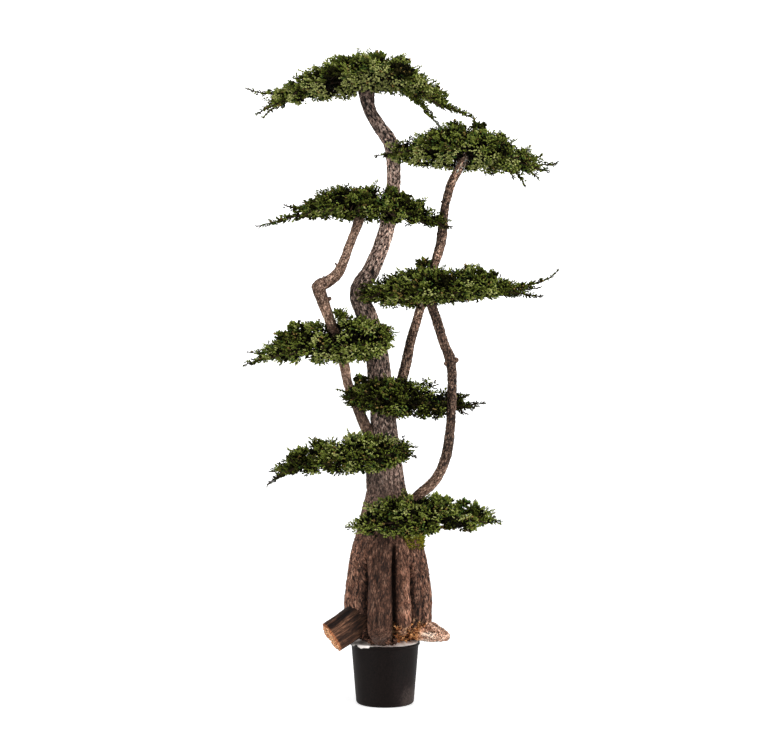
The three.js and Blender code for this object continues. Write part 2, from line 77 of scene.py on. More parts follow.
ROOT_RIGHT = (
    (62, -18, 236, 32), (104, -34, 228, 33), (142, -42, 219, 29), (172, -48, 211, 20), (196, -52, 206, 9),
)
ROOT_RIGHT_FLAT = 1.25
# How finely the limbs are meshed.
TRUNK_STEP = 5.2
TRUNK_SIDES = 180
BOUGH_STEP = 4
BOUGH_SIDES = 40
ROOT_SIDES = 72
STUB_SIDES = 12

# The swelling of the foot and the grooves between its columns.
FOOT = 185.3
FLARE_WIDEST = 255
FLARE_TOP = 640
FLARE_WIDTH = 72
FLARE_TUCK = 1.15
GROOVE_ANGLES = np.array((-125, -39, 9.5, 37.5, 112, 160, 202, 235))
GROOVE_TOPS = np.array((450, 455, 500, 440, 450, 470, 440, 450))
GROOVE_DEPTH = 52
GROOVE_FADE = 90
GROOVE_FOOT_DEPTH = 16
SLIT_DEPTH = 26
SLIT_WIDTH = 7
SLIT_FADE = 40
# The levels between which the old stringy bark gives way to young netted bark, and the relief of both.
YOUNG_LEVELS = (480, 780)
OLD_RELIEF = 7.5
YOUNG_RELIEF = 2.6
# The sawn side of the foot: its depth, the angles where its edges fade, and the levels of its top.
RAW_DEPTH = 9
RAW_LEFT = (4, 12)
RAW_RIGHT = (66, 86)
RAW_LEVELS = (238, 250)
# The middle front column stays stout down to the plaster: its angle, half width, how far it stands out and
# the levels over which that ends.
STOUT_TURN = -14
STOUT_SPREAD = 17
STOUT_DEPTH = 26
STOUT_LEVELS = (190, 252)
# The plaster smeared up the front of the foot: its angle, spread, strength and the levels of its edge.
SMEAR_TURN = -16
SMEAR_SPREAD = 24
SMEAR_AMOUNT = 0.7
SMEAR_LEVELS = (196, 232)
# Loose chips at the foot: how many, their levels, angles and depth under the bark, their lengths and how
# light they are.
RAW_CHIPS = dict(
    seed=19, count=110, levels=(192, 248), turns=(8, 74), sunk=(9, 18), lengths=(6, 17), tones=(0.1, 1))
BARK_CHIPS = dict(
    seed=20, count=270, levels=(187, 210), turns=(74, 372), sunk=(-4, 8), lengths=(4, 13), tones=(0.15, 0.6))
FRONT_CHIPS = dict(
    seed=22, count=120, levels=(187, 208), turns=(-40, 12), sunk=(-17, 0), lengths=(4, 12), tones=(0.15, 0.7))
# Stretches of the trunk darkened as painted shadow under the masses, or lightened where negative as
# painted light, one a painted highlight on a column's edge: level, half height, angle, spread and amount.
PAINTED_LIGHT_STRETCHES = (
    (1790, 100, 0, 300, 0.6), (1580, 50, 0, 300, -0.2), (1440, 40, 0, 300, -0.6), (1400, 130, 62, 35, -0.45),
    (1300, 35, 0, 300, 0.2), (1235, 42, -50, 60, 0.45), (1215, 42, 25, 50, 0.55), (1160, 45, -60, 50, 0.6),
    (1160, 40, 50, 30, -0.5), (1025, 45, 0, 300, 0.5), (850, 75, 0, 300, 0.5), (665, 60, 0, 300, 0.3),
    (680, 40, -60, 50, 0.35), (520, 40, 0, 60, 0.4), (400, 160, 60, 25, 0.25), (355, 90, 27, 4, -1.2),
)
# The tuft of moss on the trunk: how many leaves, and the middle and reach of its level and of its angle.
MOSS_LEAVES = 1000
MOSS_LEVEL = (513, 38)
MOSS_TURN = (66, 50)
MOSS_RAGGED = 0.22

POT_SIDES = 128
POT_CORNER = 9
POT_RIM = 185
POT_SHOULDER = 177
POT_FLOOR = 172
POT_WALL = (88, 102)
POT_LIP = 106
POT_BORE = 100.4
PLASTER_SIDES = 144
PLASTER_LEVEL = 184.6
PLASTER_MIDDLE = (13, 0)
PLASTER_BASE = 173
# The angles where the spill over the lip begins and ends.
SPILL_LEFT = (-95, -80)
SPILL_RIGHT = (-30, -12)

# The foliage masses: foot of the stem, seed, hub, reaches, heights over and under the hub, drops of the
# ends, rise of the back, and how light the whole and its upper and lower lumps are, as painted light and
# shade. Then trailing shoots (heading, reach, drop and the share where they bend), extra lumps (heading,
# share, height over the top) and spots of painted light on lobes and painted shade in hollows on the
# front (across, level, half width, half height and change of tone).
PADS = {
    "foliage_top": dict(
        stem=(-54, -10, 1840), seed=11, hub=(-50, -10, 1870), left=290, right=232, front=200, back=190,
        up=90, down=(42, 16), left_drop=-58, right_drop=-76, back_rise=45, tone=0.1, over=-0.12, under=0.33,
        tails=((183, 372, -14, 0.95), (187, 340, -98, 1.12), (176, 322, -98, 1), (356, 322, -106, 0.95),
               (3, 314, -86, 1), (4, 226, -134, 0.42), (352, 196, -92, 0.45)),
        tufts=((0, 0.12, 18), (355, 0.44, 22), (190, 0.3, 8)),
        painted_spots=((43, 1880, 38, 26, -0.75), (-30, 1868, 44, 34, 0.3), (-150, 1868, 32, 24, -0.35))),
    "foliage_upper_right": dict(
        stem=(231, -50, 1630), seed=23, hub=(230, -50, 1660), left=198, right=236, front=150, back=140,
        up=78, down=(50, 62), left_drop=-5, right_drop=-48, back_rise=20, tone=0.06, over=-0.16, under=0.22,
        tails=((184, 264, -12, 0.95), (0, 288, -32, 0.95), (348, 192, -108, 0.75), (342, 160, -86, 0.7),
               (8, 246, -2, 0.9), (355, 262, -58, 0.95), (350, 232, -84, 0.9)),
        tufts=((180, 0.1, 24), (0, 0.22, 24), (5, 0.5, 6))),
    "foliage_upper_left": dict(
        stem=(-79, -95, 1442), seed=37, hub=(-78, -95, 1470), left=182, right=235, front=135, back=120,
        up=88, down=(16, 22), left_drop=-6, right_drop=-38, back_rise=15, tone=-0.1, over=-0.04, under=0.05,
        tails=((183, 304, -38, 0.95), (176, 226, 32, 0.95), (356, 274, -38, 0.95)),
        tufts=((355, 0.4, 8), (350, 0.56, 4), (0, 0.7, 4))),
    "foliage_middle_right": dict(
        stem=(139, -64, 1205), seed=41, hub=(136, -64, 1230), left=184, right=272, front=150, back=135,
        up=88, down=(38, 24), left_drop=-8, right_drop=8, tone=-0.15, over=0.09, under=0.06,
        tails=((183, 226, 8, 0.95), (175, 212, 34, 0.9), (1, 382, 78, 1.4), (354, 332, -4, 1),
               (358, 330, 24, 1)),
        tufts=((180, 0.1, 28), (0, 0.45, 12), (0, 0.6, 14), (0, 0.74, 12)),
        painted_spots=((177, 1266, 30, 22, -0.5), (290, 1245, 70, 30, 0.2))),
    "foliage_middle_left": dict(
        stem=(-135, -28, 1064), seed=59, hub=(-118, -62, 1078), left=236, right=146, front=135, back=130,
        up=92, down=(52, 50), left_drop=-34, right_drop=24, tone=0.1, over=-0.1,
        tails=((181, 308, -58, 0.95), (187, 296, -16, 0.95)),
        tufts=((200, 0.1, 24), (182, 0.6, 16), (183, 0.74, 8), (179, 0.46, 0), (178, 0.66, -6),
               (180, 0.46, -50))),
    "foliage_centre": dict(
        stem=(-7, 3, 908), seed=67, hub=(30, -76, 926), left=148, right=234, front=125, back=120,
        up=62, down=(52, 68), left_drop=4, right_drop=-28, tone=-0.3, over=0.1,
        tails=((16, 288, -18, 0.95), (24, 240, 4, 0.95), (186, 160, -8, 0.95), (344, 122, -62, 0.9),
               (14, 226, -52, 0.8), (11, 246, -34, 0.9)),
        tufts=((180, 0.66, 22),)),
    "foliage_lower_left": dict(
        stem=(-3, -6, 738), seed=73, hub=(-84, -76, 758), left=226, right=166, front=130, back=100,
        up=64, down=(58, 56), left_drop=-54, right_drop=8, tone=-0.12, over=0.16,
        tails=((183, 268, -92, 0.95), (176, 244, -78, 0.95), (352, 178, -8, 0.95)),
        tufts=((181, 0.5, 2), (179, 0.68, 4), (176, 0.8, 4))),
    "foliage_lower_right": dict(
        stem=(10, -2, 552), seed=89, hub=(78, -140, 575), left=176, right=238, front=105, back=80,
        up=70, down=(52, 56), left_drop=-32, right_drop=-12, tone=0.11, over=-0.03, under=-0.1,
        tails=((184, 196, -30, 0.95), (4, 250, 0, 0.95)),
        tufts=((0, 0.28, 4), (0, 0.42, 2), (1, 0.6, 4), (358, 0.74, 3), (0, 0.46, -48))),
}
# The masses that open to show a bough: its stations, the levels from and to, and how far left and right of
# its bark.
PARTED = {
    "foliage_upper_right": (RIGHT_INNER, 0, 1640, 9, 9),
    "foliage_middle_left": (LEFT, 1112, 1300, 8, 8),
    "foliage_centre": (RIGHT_OUTER, 0, 1300, 2, 200),
    "foliage_lower_right": (RIGHT_OUTER, 622, 720, 2, 2),
}
LOBE_AMOUNT = 0.09
LOBE_COUNTS = (3, 5)
SHOOTS = 8
SHOOT_LIFT = 0.42
SHOOT_SPREAD = 0.5
SHOOT_SHARES = (0.1, 0.45, 0.75, 1)
GOLDEN = math.pi * (3 - math.sqrt(5))

# The lumps that a mass is made of: spacing, depth under its surface, sprays in each, spread and tone, which
# is painted light and shade on tops, undersides, rims and tufts, and how large the sprays on their
# feathered shoots are and how long those shoots.
TOP_LUMPS = dict(
    spacing=43, inset=33, sprays=14, lengths=(13, 23), spread=1.4, lean=1.1, rise=1.0, tone=0.4, part="over",
    frond=(0.42, 1))
UNDER_LUMPS = dict(
    spacing=41, inset=20, sprays=15, lengths=(15, 23), spread=1.2, lean=1.3, rise=-0.3, tone=0.43,
    part="under")
RIM_LUMPS = dict(
    spacing=31, inset=(26, 48), sprays=10, lengths=(14, 21), spread=1.1, tone=0.3, frond=(0.42, 1))
TUFT_LUMPS = dict(
    stack=22, sprays=26, lengths=(20, 36), spread=1.1, tone=0.32, core=4, dark=1, frond=(0.66, 0.6),
    upright=True)
LUMP_CORE = 16
SURFACE_EDGE = 18
# Near-black sprays, as painted shade: a few in the middle of every lump, and large ones inside every mass.
DARK_SPRAYS = 4
DARK_LENGTH = (20, 26)
DARK_TONE = -1
INNER_LENGTH = (34, 46)
INNER_AREA = 330
INNER_SHARE = 0.78
# How tones differ: from lump to lump, from the middle of a lump to its darker sides as painted shade, and
# from spray to spray.
LUMP_TONES = (-0.2, 0.22)
LUMP_SHADE = 0.55
SPRAY_TONES = (-0.26, 0.26)
# The feathered shoots: length, how far in they are rooted, and where their sprays sit.
FROND_LENGTH = (34, 54)
FROND_ROOT = 8
FROND_PLACES = (0.1, 0.3, 0.5, 0.68)
FROND_TONES = (-0.1, 0.26)
STALK = 1.4
# Where along a spray it is tested against the limbs, and how far clear of them it has to be there.
SPRAY_MARGINS = ((0, 2), (0.6, 4), (1, 3))
SPRAY_SIGHTS = (0, 0.5, 1)
WOOD_MARGIN = 3
# Radius at both ends and sides of the wood in a mass.
STEM_WOOD = (10, 6, 8)
SHOOT_WOOD = (5, 1.5, 5)
TAIL_WOOD = (4, 1.6, 5)
TWIG_WOOD = (2, 1, 3)
# Trailing shoots and the short ones along the rim: length of their sprays, and how far these stand to the
# sides.
TAIL = (36, (-1, -0.4, 0.4, 1))
FRINGE = (26, (-1, 1))
FRINGE_SHOOTS = 16
TAIL_TAPER = 0.7
TAIL_GAPS = 0.5
# A spray's fingers of leaf: how many, and their length and radius, coarser on the dark sprays inside.
FINGERS = 3
LEAFY = (0.64, 0.135)
COARSE = (0.62, 0.17)
TEMPLATES = 8
COLOUR_STEPS = (-0.5, 0.1, 0.27, 0.46, 0.71)
COOL_SHARE = 0.1
OLIVE_SHARE = 0.04
# The darker colour at the root of a leaf of each colour, painted as shade, and which faces of a spindle
# lie there.
LEAF_ROOTS = np.array((0, 0, 1, 2, 3, 4, 1, 1))
SPINDLE_ROOTS = np.array((True, True, True, False, False, False))

CAMERA_PLACE = (-0.01515, -5.0, 1.0)
CAMERA_SENSOR = 36
CAMERA_LENS = CAMERA_SENSOR * 1650 / 760
STUDIO_SIDES = 96
STUDIO_FLOOR = 9
STUDIO_CURVE = 3
STUDIO_WALL = 9
STUDIO_GLOW = 0.62
SKY_LIGHT = 0.3
SUN_WIDTH = math.radians(40)
# The lights: where each shines from and its strength.
SUNS = {
    "right": ((1, -0.6, 0.15), 3.0),
    "left": ((-1, -0.7, 0.1), 2.0),
    "low": ((0.1, -1, -0.45), 0.7),
    "above": ((0.1, -0.35, 1), 0.5),
    "back": ((-0.3, 1, 0.35), 1.0),
}


def srgb(red, green, blue):
    """The linear colour of three sRGB values from 0 to 255."""
    value = np.array((red, green, blue)) / 255
    return np.where(value <= 0.04045, value / 12.92, ((value + 0.055) / 1.055) ** 2.4)


def palette(*colours):
    """Dark, middle and light linear colours from sRGB values."""
    return [srgb(*colour) for colour in colours]


def toned(colours, tone):
    """Colours that run from dark through middle to light as tone goes from 0 to 1."""
    dark, middle, light = colours
    tone = np.clip(tone, 0, 1)[..., None]
    low = dark + (middle - dark) * np.minimum(tone * 2, 1)
    return low + (light - middle) * np.maximum(tone * 2 - 1, 0)


def smoothstep(value, low, high):
    share = np.clip((value - low) / (high - low), 0, 1)
    return share * share * (3 - 2 * share)


def unit(vectors):
    vectors = np.asarray(vectors, float)
    return vectors / np.linalg.norm(vectors, axis=-1, keepdims=True)


def lattice(cell, seed):
    """A fixed value from 0 to 1 for every cell of a lattice."""
    key = cell.astype(np.int64)
    mixed = key[..., 0] * 374761393 + key[..., 1] * 668265263 + key[..., 2] * 1440662683 + seed * 974711
    mixed = ((mixed ^ (mixed >> 13)) * 1274126177) & 0xFFFFFFFF
    mixed = (mixed ^ (mixed >> 16)) & 0xFFFFFF
    return mixed / 0xFFFFFF


def noise(points, seed=0):
    """Smooth noise from -1 to 1."""
    base = np.floor(points)
    inside = points - base
    inside = inside * inside * (3 - 2 * inside)
    total = 0
    for corner in itertools.product((0, 1), repeat=3):
        weight = np.prod(np.where(corner, inside, 1 - inside), axis=-1)
        total = total + weight * lattice(base + corner, seed)
    return 2 * total - 1


def fractal(points, octaves, seed=0):
    """Noise with finer and weaker layers on top."""
    return sum(noise(points * 2 ** octave, seed + octave) / 2 ** octave for octave in range(octaves))


def plates(points, seed=0):
    """How far each point is from the cracks between random cells, and its cell's own value."""
    base = np.floor(points)
    nearest = np.full(points.shape[:-1], 9.0)
    second = nearest.copy()
    owner = np.zeros_like(nearest)
    for offset in itertools.product((-1, 0, 1), repeat=3):
        cell = base + offset
        seat = cell + np.stack([lattice(cell, seed + axis) for axis in range(3)], -1)
        away = np.linalg.norm(points - seat, axis=-1)
        closer = away < nearest
        second = np.where(closer, nearest, np.minimum(second, away))
        owner = np.where(closer, lattice(cell, seed + 3), owner)
        nearest = np.where(closer, away, nearest)
    return second - nearest, owner


def new_object(name, points, faces, materials, colours=None, layers=()):
    """A smooth mesh object from arrays of points, in metres, and of faces, with a material for each face."""
    mesh = bpy.data.meshes.new(name)
    corners = np.concatenate([group.ravel() for group in faces])
    sizes = np.concatenate([np.full(len(group), group.shape[1]) for group in faces])
    starts = np.concatenate([[0], np.cumsum(sizes)[:-1]])
    mesh.vertices.add(len(points))
    mesh.vertices.foreach_set("co", points.astype(np.float32).ravel())
    mesh.loops.add(len(corners))
    mesh.loops.foreach_set("vertex_index", corners.astype(np.int32))
    mesh.polygons.add(len(sizes))
    mesh.polygons.foreach_set("loop_start", starts.astype(np.int32))
    mesh.polygons.foreach_set("use_smooth", np.ones(len(sizes), bool))
    for material in materials:
        mesh.materials.append(material)
    if colours is not None:
        mesh.polygons.foreach_set("material_index", colours.astype(np.int32))
    for key, kind, field, values in layers:
        layer = mesh.attributes.new(key, kind, "POINT")
        layer.data.foreach_set(field, values.astype(np.float32).ravel())
    mesh.update(calc_edges=True)
    made = bpy.data.objects.new(name, mesh)
    bpy.context.scene.collection.objects.link(made)
    return made


def add_piece(name, points, faces, materials, slot, nodes, **more):
    """A mesh piece from points in millimetres, tied to the plant's one body."""
    piece = new_object(name, points * MM, faces, materials, **more)
    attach(piece, BODY)
    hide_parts(*nodes)


def ring_faces(rings, sides):
    """Quads between neighbouring rings of points, facing outward."""
    start = np.arange(rings - 1)[:, None] * sides
    here = start + np.arange(sides)
    beside = start + (np.arange(sides) + 1) % sides
    return np.stack([here, beside, beside + sides, here + sides], -1).reshape(-1, 4)


def fan_faces(ring, centre, sides, outward):
    """Triangles from a ring of points to one centre point."""
    here = ring + np.arange(sides)
    beside = ring + (np.arange(sides) + 1) % sides
    middle = np.full(sides, centre)
    return np.stack([here, beside, middle] if outward else [beside, here, middle], -1)


def tube_faces(rings, sides):
    """Faces of a closed tube, whose last two points are the middles of its first and last ring."""
    last = rings * sides
    ends = [fan_faces(0, last, sides, False), fan_faces(last - sides, last + 1, sides, True)]
    return [ring_faces(rings, sides), np.vstack(ends)]


def ring_angles(sides):
    return np.arange(sides) * 2 * math.pi / sides


def turned_front(angles):
    """Angles in degrees from -180 to 180, with the front at 0."""
    return (np.degrees(angles) + 180) % 360 - 180


def with_ends(rows):
    """Values of a loft's rings, followed by those of its two end points."""
    flat = rows.reshape(rows.shape[0] * rows.shape[1], *rows.shape[2:])
    return np.concatenate([flat, flat[:1], flat[-1:]])


class Shell:
    """Closed forms gathered into one mesh, with tint, strength of the flecks and bark coordinates."""

    LOOSE_GRAIN = 5

    def __init__(self):
        self.rows = []
        self.faces = []
        self.count = 0

    def add(self, points, tint, faces, grain=None, fleck=1):
        tint = np.broadcast_to(tint, points.shape)
        fleck = np.broadcast_to(fleck, len(points))
        grain = points / self.LOOSE_GRAIN if grain is None else grain
        self.rows.append(np.column_stack([points, tint, fleck, grain]))
        self.faces += [group + self.count for group in faces]
        self.count += len(points)

    def add_limb(self, limb, radius, angles, tint, grain, fleck=1):
        points, faces = limb.closed(radius, angles)
        fleck = np.broadcast_to(fleck, radius.shape)
        self.add(points, with_ends(tint), faces, with_ends(grain), with_ends(fleck))

    def piece(self, name, material, slot, nodes):
        rows = np.concatenate(self.rows)
        layers = (
            ("tint", "FLOAT_COLOR", "color", rows[:, 3:7]),
            ("grain", "FLOAT_VECTOR", "vector", rows[:, 7:]),
        )
        add_piece(name, rows[:, :3], self.faces, [material], slot, nodes, layers=layers)


class Limb:
    """A limb's centre line, radius and ring frames at even steps."""

    FINE = 1500

    def __init__(self, stations, step):
        rows = self.curve(np.array(stations, float), np.linspace(0, 1, self.FINE))
        reach = np.linalg.norm(np.diff(rows[:, :3], axis=0), axis=1)
        reach = np.concatenate([[0], np.cumsum(reach)])
        self.run = np.linspace(0, reach[-1], max(4, int(reach[-1] / step)))
        even = np.column_stack([np.interp(self.run, reach, column) for column in rows.T])
        self.centre = even[:, :3]
        self.radius = even[:, 3]
        self.along = unit(np.gradient(self.centre, axis=0))
        front = np.array((0, -1, 0))
        self.front = unit(front - (self.along @ front)[:, None] * self.along)
        self.side = np.cross(self.along, self.front)

    @staticmethod
    def curve(stations, shares):
        """A uniform Catmull-Rom curve through the stations."""
        spans = len(stations) - 1
        place = shares * spans
        span = np.minimum(place.astype(int), spans - 1)
        part = (place - span)[:, None]
        ends = np.vstack([2 * stations[0] - stations[1], stations, 2 * stations[-1] - stations[-2]])
        a, b, c, d = (ends[span + k] for k in range(4))
        bend = (2 * a - 5 * b + 4 * c - d) * part ** 2 + (3 * b - a - 3 * c + d) * part ** 3
        return 0.5 * (2 * b + (c - a) * part + bend)

    def way_out(self, ring, turn):
        """The direction out of the limb at one ring and angle."""
        return self.front[ring] * math.cos(turn) + self.side[ring] * math.sin(turn)

    def bark_place(self, angles, radius):
        """Coordinates for the bark, with the third one along the limb."""
        across = np.stack([np.cos(angles) * radius[:, None], np.sin(angles) * radius[:, None]], -1)
        along = np.broadcast_to(self.run[:, None, None], across.shape[:2] + (1,))
        return np.concatenate([across, along], -1)

    def grain_place(self, angles, radius, width, length):
        """Coordinates for the bark in cells of the given width and length."""
        place = self.bark_place(angles, radius)
        place[..., 2] = np.cumsum(np.gradient(self.run) / length)[:, None]
        place[..., :2] /= np.broadcast_to(width, len(self.run))[:, None, None]
        return place

    def rounded(self, radius, length):
        """The radius with the far end closed to a dome of this length."""
        left = np.clip((self.run[-1] - self.run) / length, 0, 1)
        return radius * np.sqrt(np.maximum(1 - (1 - left) ** 2, 0.004))[:, None]

    def closed(self, radius, angles):
        """Points of the loft, with a centre point on both ends, and its faces."""
        out = self.front[:, None] * np.cos(angles)[:, None] + self.side[:, None] * np.sin(angles)[:, None]
        points = (self.centre[:, None] + out * radius[..., None]).reshape(-1, 3)
        return np.vstack([points, self.centre[0], self.centre[-1]]), tube_faces(len(self.run), len(angles))


def new_material(name, colour, roughness, specular=0.15):
    """A plain shader of one colour."""
    material = bpy.data.materials.new(name)
    material.use_nodes = True
    shader = material.node_tree.nodes["Principled BSDF"]
    shader.inputs["Base Color"].default_value = (*colour, 1)
    shader.inputs["Roughness"].default_value = roughness
    shader.inputs["Specular IOR Level"].default_value = specular
    return material


def add_node(material, kind, inputs, operation=None):
    """A shader node whose inputs are set to values or linked to the outputs of other nodes."""
    node = material.node_tree.nodes.new("ShaderNode" + kind)
    if operation:
        node.operation = operation
    for socket, value in inputs.items():
        if isinstance(value, bpy.types.NodeSocket):
            material.node_tree.links.new(value, node.inputs[socket])
        else:
            node.inputs[socket].default_value = value
    return node


def attribute(material, name, output):
    """A mesh attribute as a source of values."""
    node = add_node(material, "Attribute", {})
    node.attribute_name = name
    return node.outputs[output]


def combined(material, operation, *sources):
    """Two or three values multiplied or added."""
    return add_node(material, "Math", dict(enumerate(sources)), operation).outputs["Value"]


def ranged(material, source, low, high, start, end):
    """The source mapped from one range of values to another."""
    inputs = {"Value": source, "From Min": low, "From Max": high, "To Min": start, "To Max": end}
    return add_node(material, "MapRange", inputs).outputs["Result"]


def finish_material(material, shade, height, depth, roughness):
    """Tint times shade as the colour, with a bump and a roughness that follow the height."""
    link = material.node_tree.links.new
    shader = material.node_tree.nodes["Principled BSDF"]
    tint = attribute(material, "tint", "Color")
    colour = add_node(material, "VectorMath", {0: tint, "Scale": shade}, "SCALE")
    bump = add_node(material, "Bump", {"Strength": 0.8, "Distance": depth * MM, "Height": height})
    link(colour.outputs["Vector"], shader.inputs["Base Color"])
    link(ranged(material, height, 0, 1, *roughness), shader.inputs["Roughness"])
    link(bump.outputs["Normal"], shader.inputs["Normal"])


def grain_material(name, scale, depth, spread, roughness, specular=0.15):
    """A tinted material with even fine grain."""
    material = new_material(name, (0.5, 0.5, 0.5), roughness[0], specular)
    where = add_node(material, "TexCoord", {}).outputs["Object"]
    stretched = add_node(material, "Mapping", {"Scale": scale, "Vector": where}).outputs["Vector"]
    look = {"Scale": 1, "Detail": 6, "Roughness": 0.65, "Vector": stretched}
    grain = add_node(material, "TexNoise", look).outputs["Fac"]
    shade = ranged(material, grain, 0.3, 0.7, 1 - spread, 1 + spread)
    finish_material(material, shade, grain, depth, roughness)
    return material


def bark_material(name, depth, crack, spread):
    """Tinted bark laid along the limb: uneven flecks of high contrast and dark cracks between plates."""
    material = new_material(name, (0.4, 0.3, 0.25), 0.85)
    where = attribute(material, "grain", "Vector")
    sway = add_node(material, "TexNoise", {"Scale": 0.7, "Detail": 3, "Vector": where}).outputs["Color"]
    bend = {0: sway, 1: (2, 2, 2), 2: where}
    bent = add_node(material, "VectorMath", bend, "MULTIPLY_ADD").outputs["Vector"]
    edge = add_node(material, "TexVoronoi", {"Scale": 0.8, "Vector": bent})
    edge.feature = "DISTANCE_TO_EDGE"
    look = {"Scale": 1, "Detail": 2.5, "Roughness": 0.6, "Vector": bent}
    fleck = add_node(material, "TexNoise", look).outputs["Fac"]
    plate = ranged(material, edge.outputs["Distance"], 0.02, 0.22, crack, 1)
    speck = ranged(material, fleck, 0.42, 0.58, -spread, spread)
    speck = combined(material, "MULTIPLY", speck, attribute(material, "tint", "Alpha"))
    shade = combined(material, "MULTIPLY_ADD", plate, speck, plate)
    height = combined(material, "MULTIPLY", plate, fleck)
    finish_material(material, shade, height, depth, (0.75, 0.95))
    return material


def plain_materials(colours):
    """Plain leaf materials from names, sRGB colours and roughnesses."""
    return [new_material(name, srgb(*colour), rough, 0.05) for name, (colour, rough) in colours.items()]


GREY_BARK = palette((78, 58, 50), (178, 149, 134), (236, 212, 196))
FOOT_BARK = palette((34, 20, 14), (124, 85, 67), (212, 164, 138))
BOUGH_BARK = palette((34, 22, 17), (138, 108, 90), (220, 184, 160))
LOG_BARK = palette((22, 13, 9), (59, 38, 28), (122, 86, 65))
RAW_WOOD = palette((82, 43, 20), (176, 108, 62), (228, 164, 106))
FLARE_WOOD = palette((98, 60, 44), (216, 166, 138), (252, 224, 202))
CUT_WOOD = palette((122, 64, 36), (208, 132, 88), (248, 198, 152))
PLASTER = palette((116, 94, 84), (190, 172, 164), (246, 238, 232))
PLASTIC = palette((8, 5, 4), (20, 13, 12), (74, 64, 60))
TWIG = srgb(46, 32, 21)

bark = bark_material("bark", 3, 0.35, 0.98)
root_bark = bark_material("root_bark", 3, 0.5, 0.8)
smooth_bark = bark_material("smooth_bark", 1.5, 0.4, 0.7)
twig_bark = grain_material("twig_bark", (300, 300, 300), 0.4, 0.25, (0.75, 0.95))
plaster = grain_material("plaster", (140, 140, 140), 0.8, 0.12, (0.8, 0.98))
black_plastic = grain_material("black_plastic", (260, 260, 200), 0.12, 0.8, (0.4, 0.65), 0.06)
MOSSES = plain_materials({
    "moss_dark": ((72, 74, 14), 0.9),
    "moss": ((124, 124, 28), 0.85),
    "moss_light": ((160, 154, 48), 0.85),
})
# leaf_shade is near-black: the colour of the painted shade inside the masses.
LEAVES = plain_materials({
    "leaf_shade": ((9, 8, 1), 0.9),
    "leaf_dark": ((34, 34, 9), 0.85),
    "leaf_deep": ((61, 67, 20), 0.85),
    "leaf_middle": ((91, 101, 36), 0.8),
    "leaf_fresh": ((132, 143, 65), 0.8),
    "leaf_light": ((178, 181, 112), 0.75),
    "leaf_cool": ((66, 90, 40), 0.85),
    "leaf_olive": ((140, 118, 66), 0.85),
})

# The boughs: stations, replaced nodes, seed, bark, size of its cells, relief, painted shade on the left
# side, how strong its flecks, painted light and shade from foot to tip, and cut twigs (share along the
# limb, angle round it, length and radius).
BOUGHS = {
    "bough_left_bark": dict(
        stations=LEFT, nodes=["bough_left_lower", "bough_left_upper"], seed=103, bark=smooth_bark,
        cell=(5, 5), relief=1.4, painted_left_shade=1, flecks=((0, 0.5), (0.5, 0.5), (0.62, 1), (1, 1)),
        painted_light_knots=((0, 0.5), (0.11, 0.85), (0.18, 0.34), (0.32, 1.6), (0.46, 1.5), (0.54, 2.1), (0.61, 0.72),
                (0.68, 1.0), (0.82, 1.05), (1, 1.0)),
        stubs=((0.6, 90, 38, 7), (0.66, -95, 25, 13), (0.683, -90, 27, 5), (0.765, -90, 32, 3.5))),
    "bough_right_inner_bark": dict(
        stations=RIGHT_INNER, nodes=["bough_right_inner"], seed=107, bark=bark, cell=(4.5, 6.5),
        relief=2.2, painted_left_shade=0.45, flecks=((0, 1), (1, 1)),
        painted_light_knots=((0, 0.6), (0.2, 0.95), (0.33, 0.9), (0.39, 2.2), (0.6, 2.2), (0.68, 0.75), (0.83, 0.75),
                (0.87, 2.0), (0.92, 3.4), (1, 3.6)),
        stubs=((0.69, -90, 20, 7), (0.8, -90, 21, 4))),
    "bough_right_outer_bark": dict(
        stations=RIGHT_OUTER, nodes=["bough_right_lower", "bough_right_upper"], seed=109, bark=bark,
        cell=(4.5, 6.5), relief=2.2, painted_left_shade=1, flecks=((0, 0.4), (0.2, 0.45), (0.34, 1), (1, 1)),
        painted_light_knots=((0, 1.5), (0.18, 1.5), (0.25, 1.1), (0.33, 0.5), (0.4, 0.36), (0.54, 0.55), (0.68, 0.48),
                (0.75, 0.8), (0.82, 0.86), (0.89, 0.52), (1, 0.52)),
        stubs=((0.7, 90, 34, 9), (0.695, -90, 27, 8), (0.58, -90, 20, 4))),
}


def netted_bark(place, seed):
    """Height from 0 to 1 of young bark: small plates, longer than wide, between thin cracks."""
    edge, owner = plates(place / (6.5, 6.5, 15), seed)
    plate = smoothstep(edge, 0.02, 0.34) * (0.45 + 0.55 * owner)
    return np.clip(0.9 * plate + 0.14 + 0.22 * fractal(place / (5, 5, 11), 2, seed + 7), 0, 1)


def stringy_bark(place, seed):
    """Height from 0 to 1 of old bark: long fibres that split and run together."""
    warped = place + 6 * np.stack([noise(place / 40, seed + k) for k in range(3)], -1)
    coarse = 1 - np.abs(fractal(warped / (15, 15, 80), 3, seed + 4))
    fine = 1 - np.abs(fractal(place / (7, 7, 26), 2, seed + 9))
    return np.clip(0.75 * coarse + 0.6 * fine - 0.42, 0, 1)


def flare_at(height):
    """How far the foot swells out past the trunk's radius."""
    below = (FLARE_WIDEST - height) / (FLARE_WIDEST - FOOT)
    above = (height - FLARE_WIDEST) / (FLARE_TOP - FLARE_WIDEST)
    share = np.clip(np.where(height < FLARE_WIDEST, below, above), 0, 1)
    return FLARE_WIDTH * np.cos(math.pi / 2 * np.where(height < FLARE_WIDEST, share ** FLARE_TUCK, share))


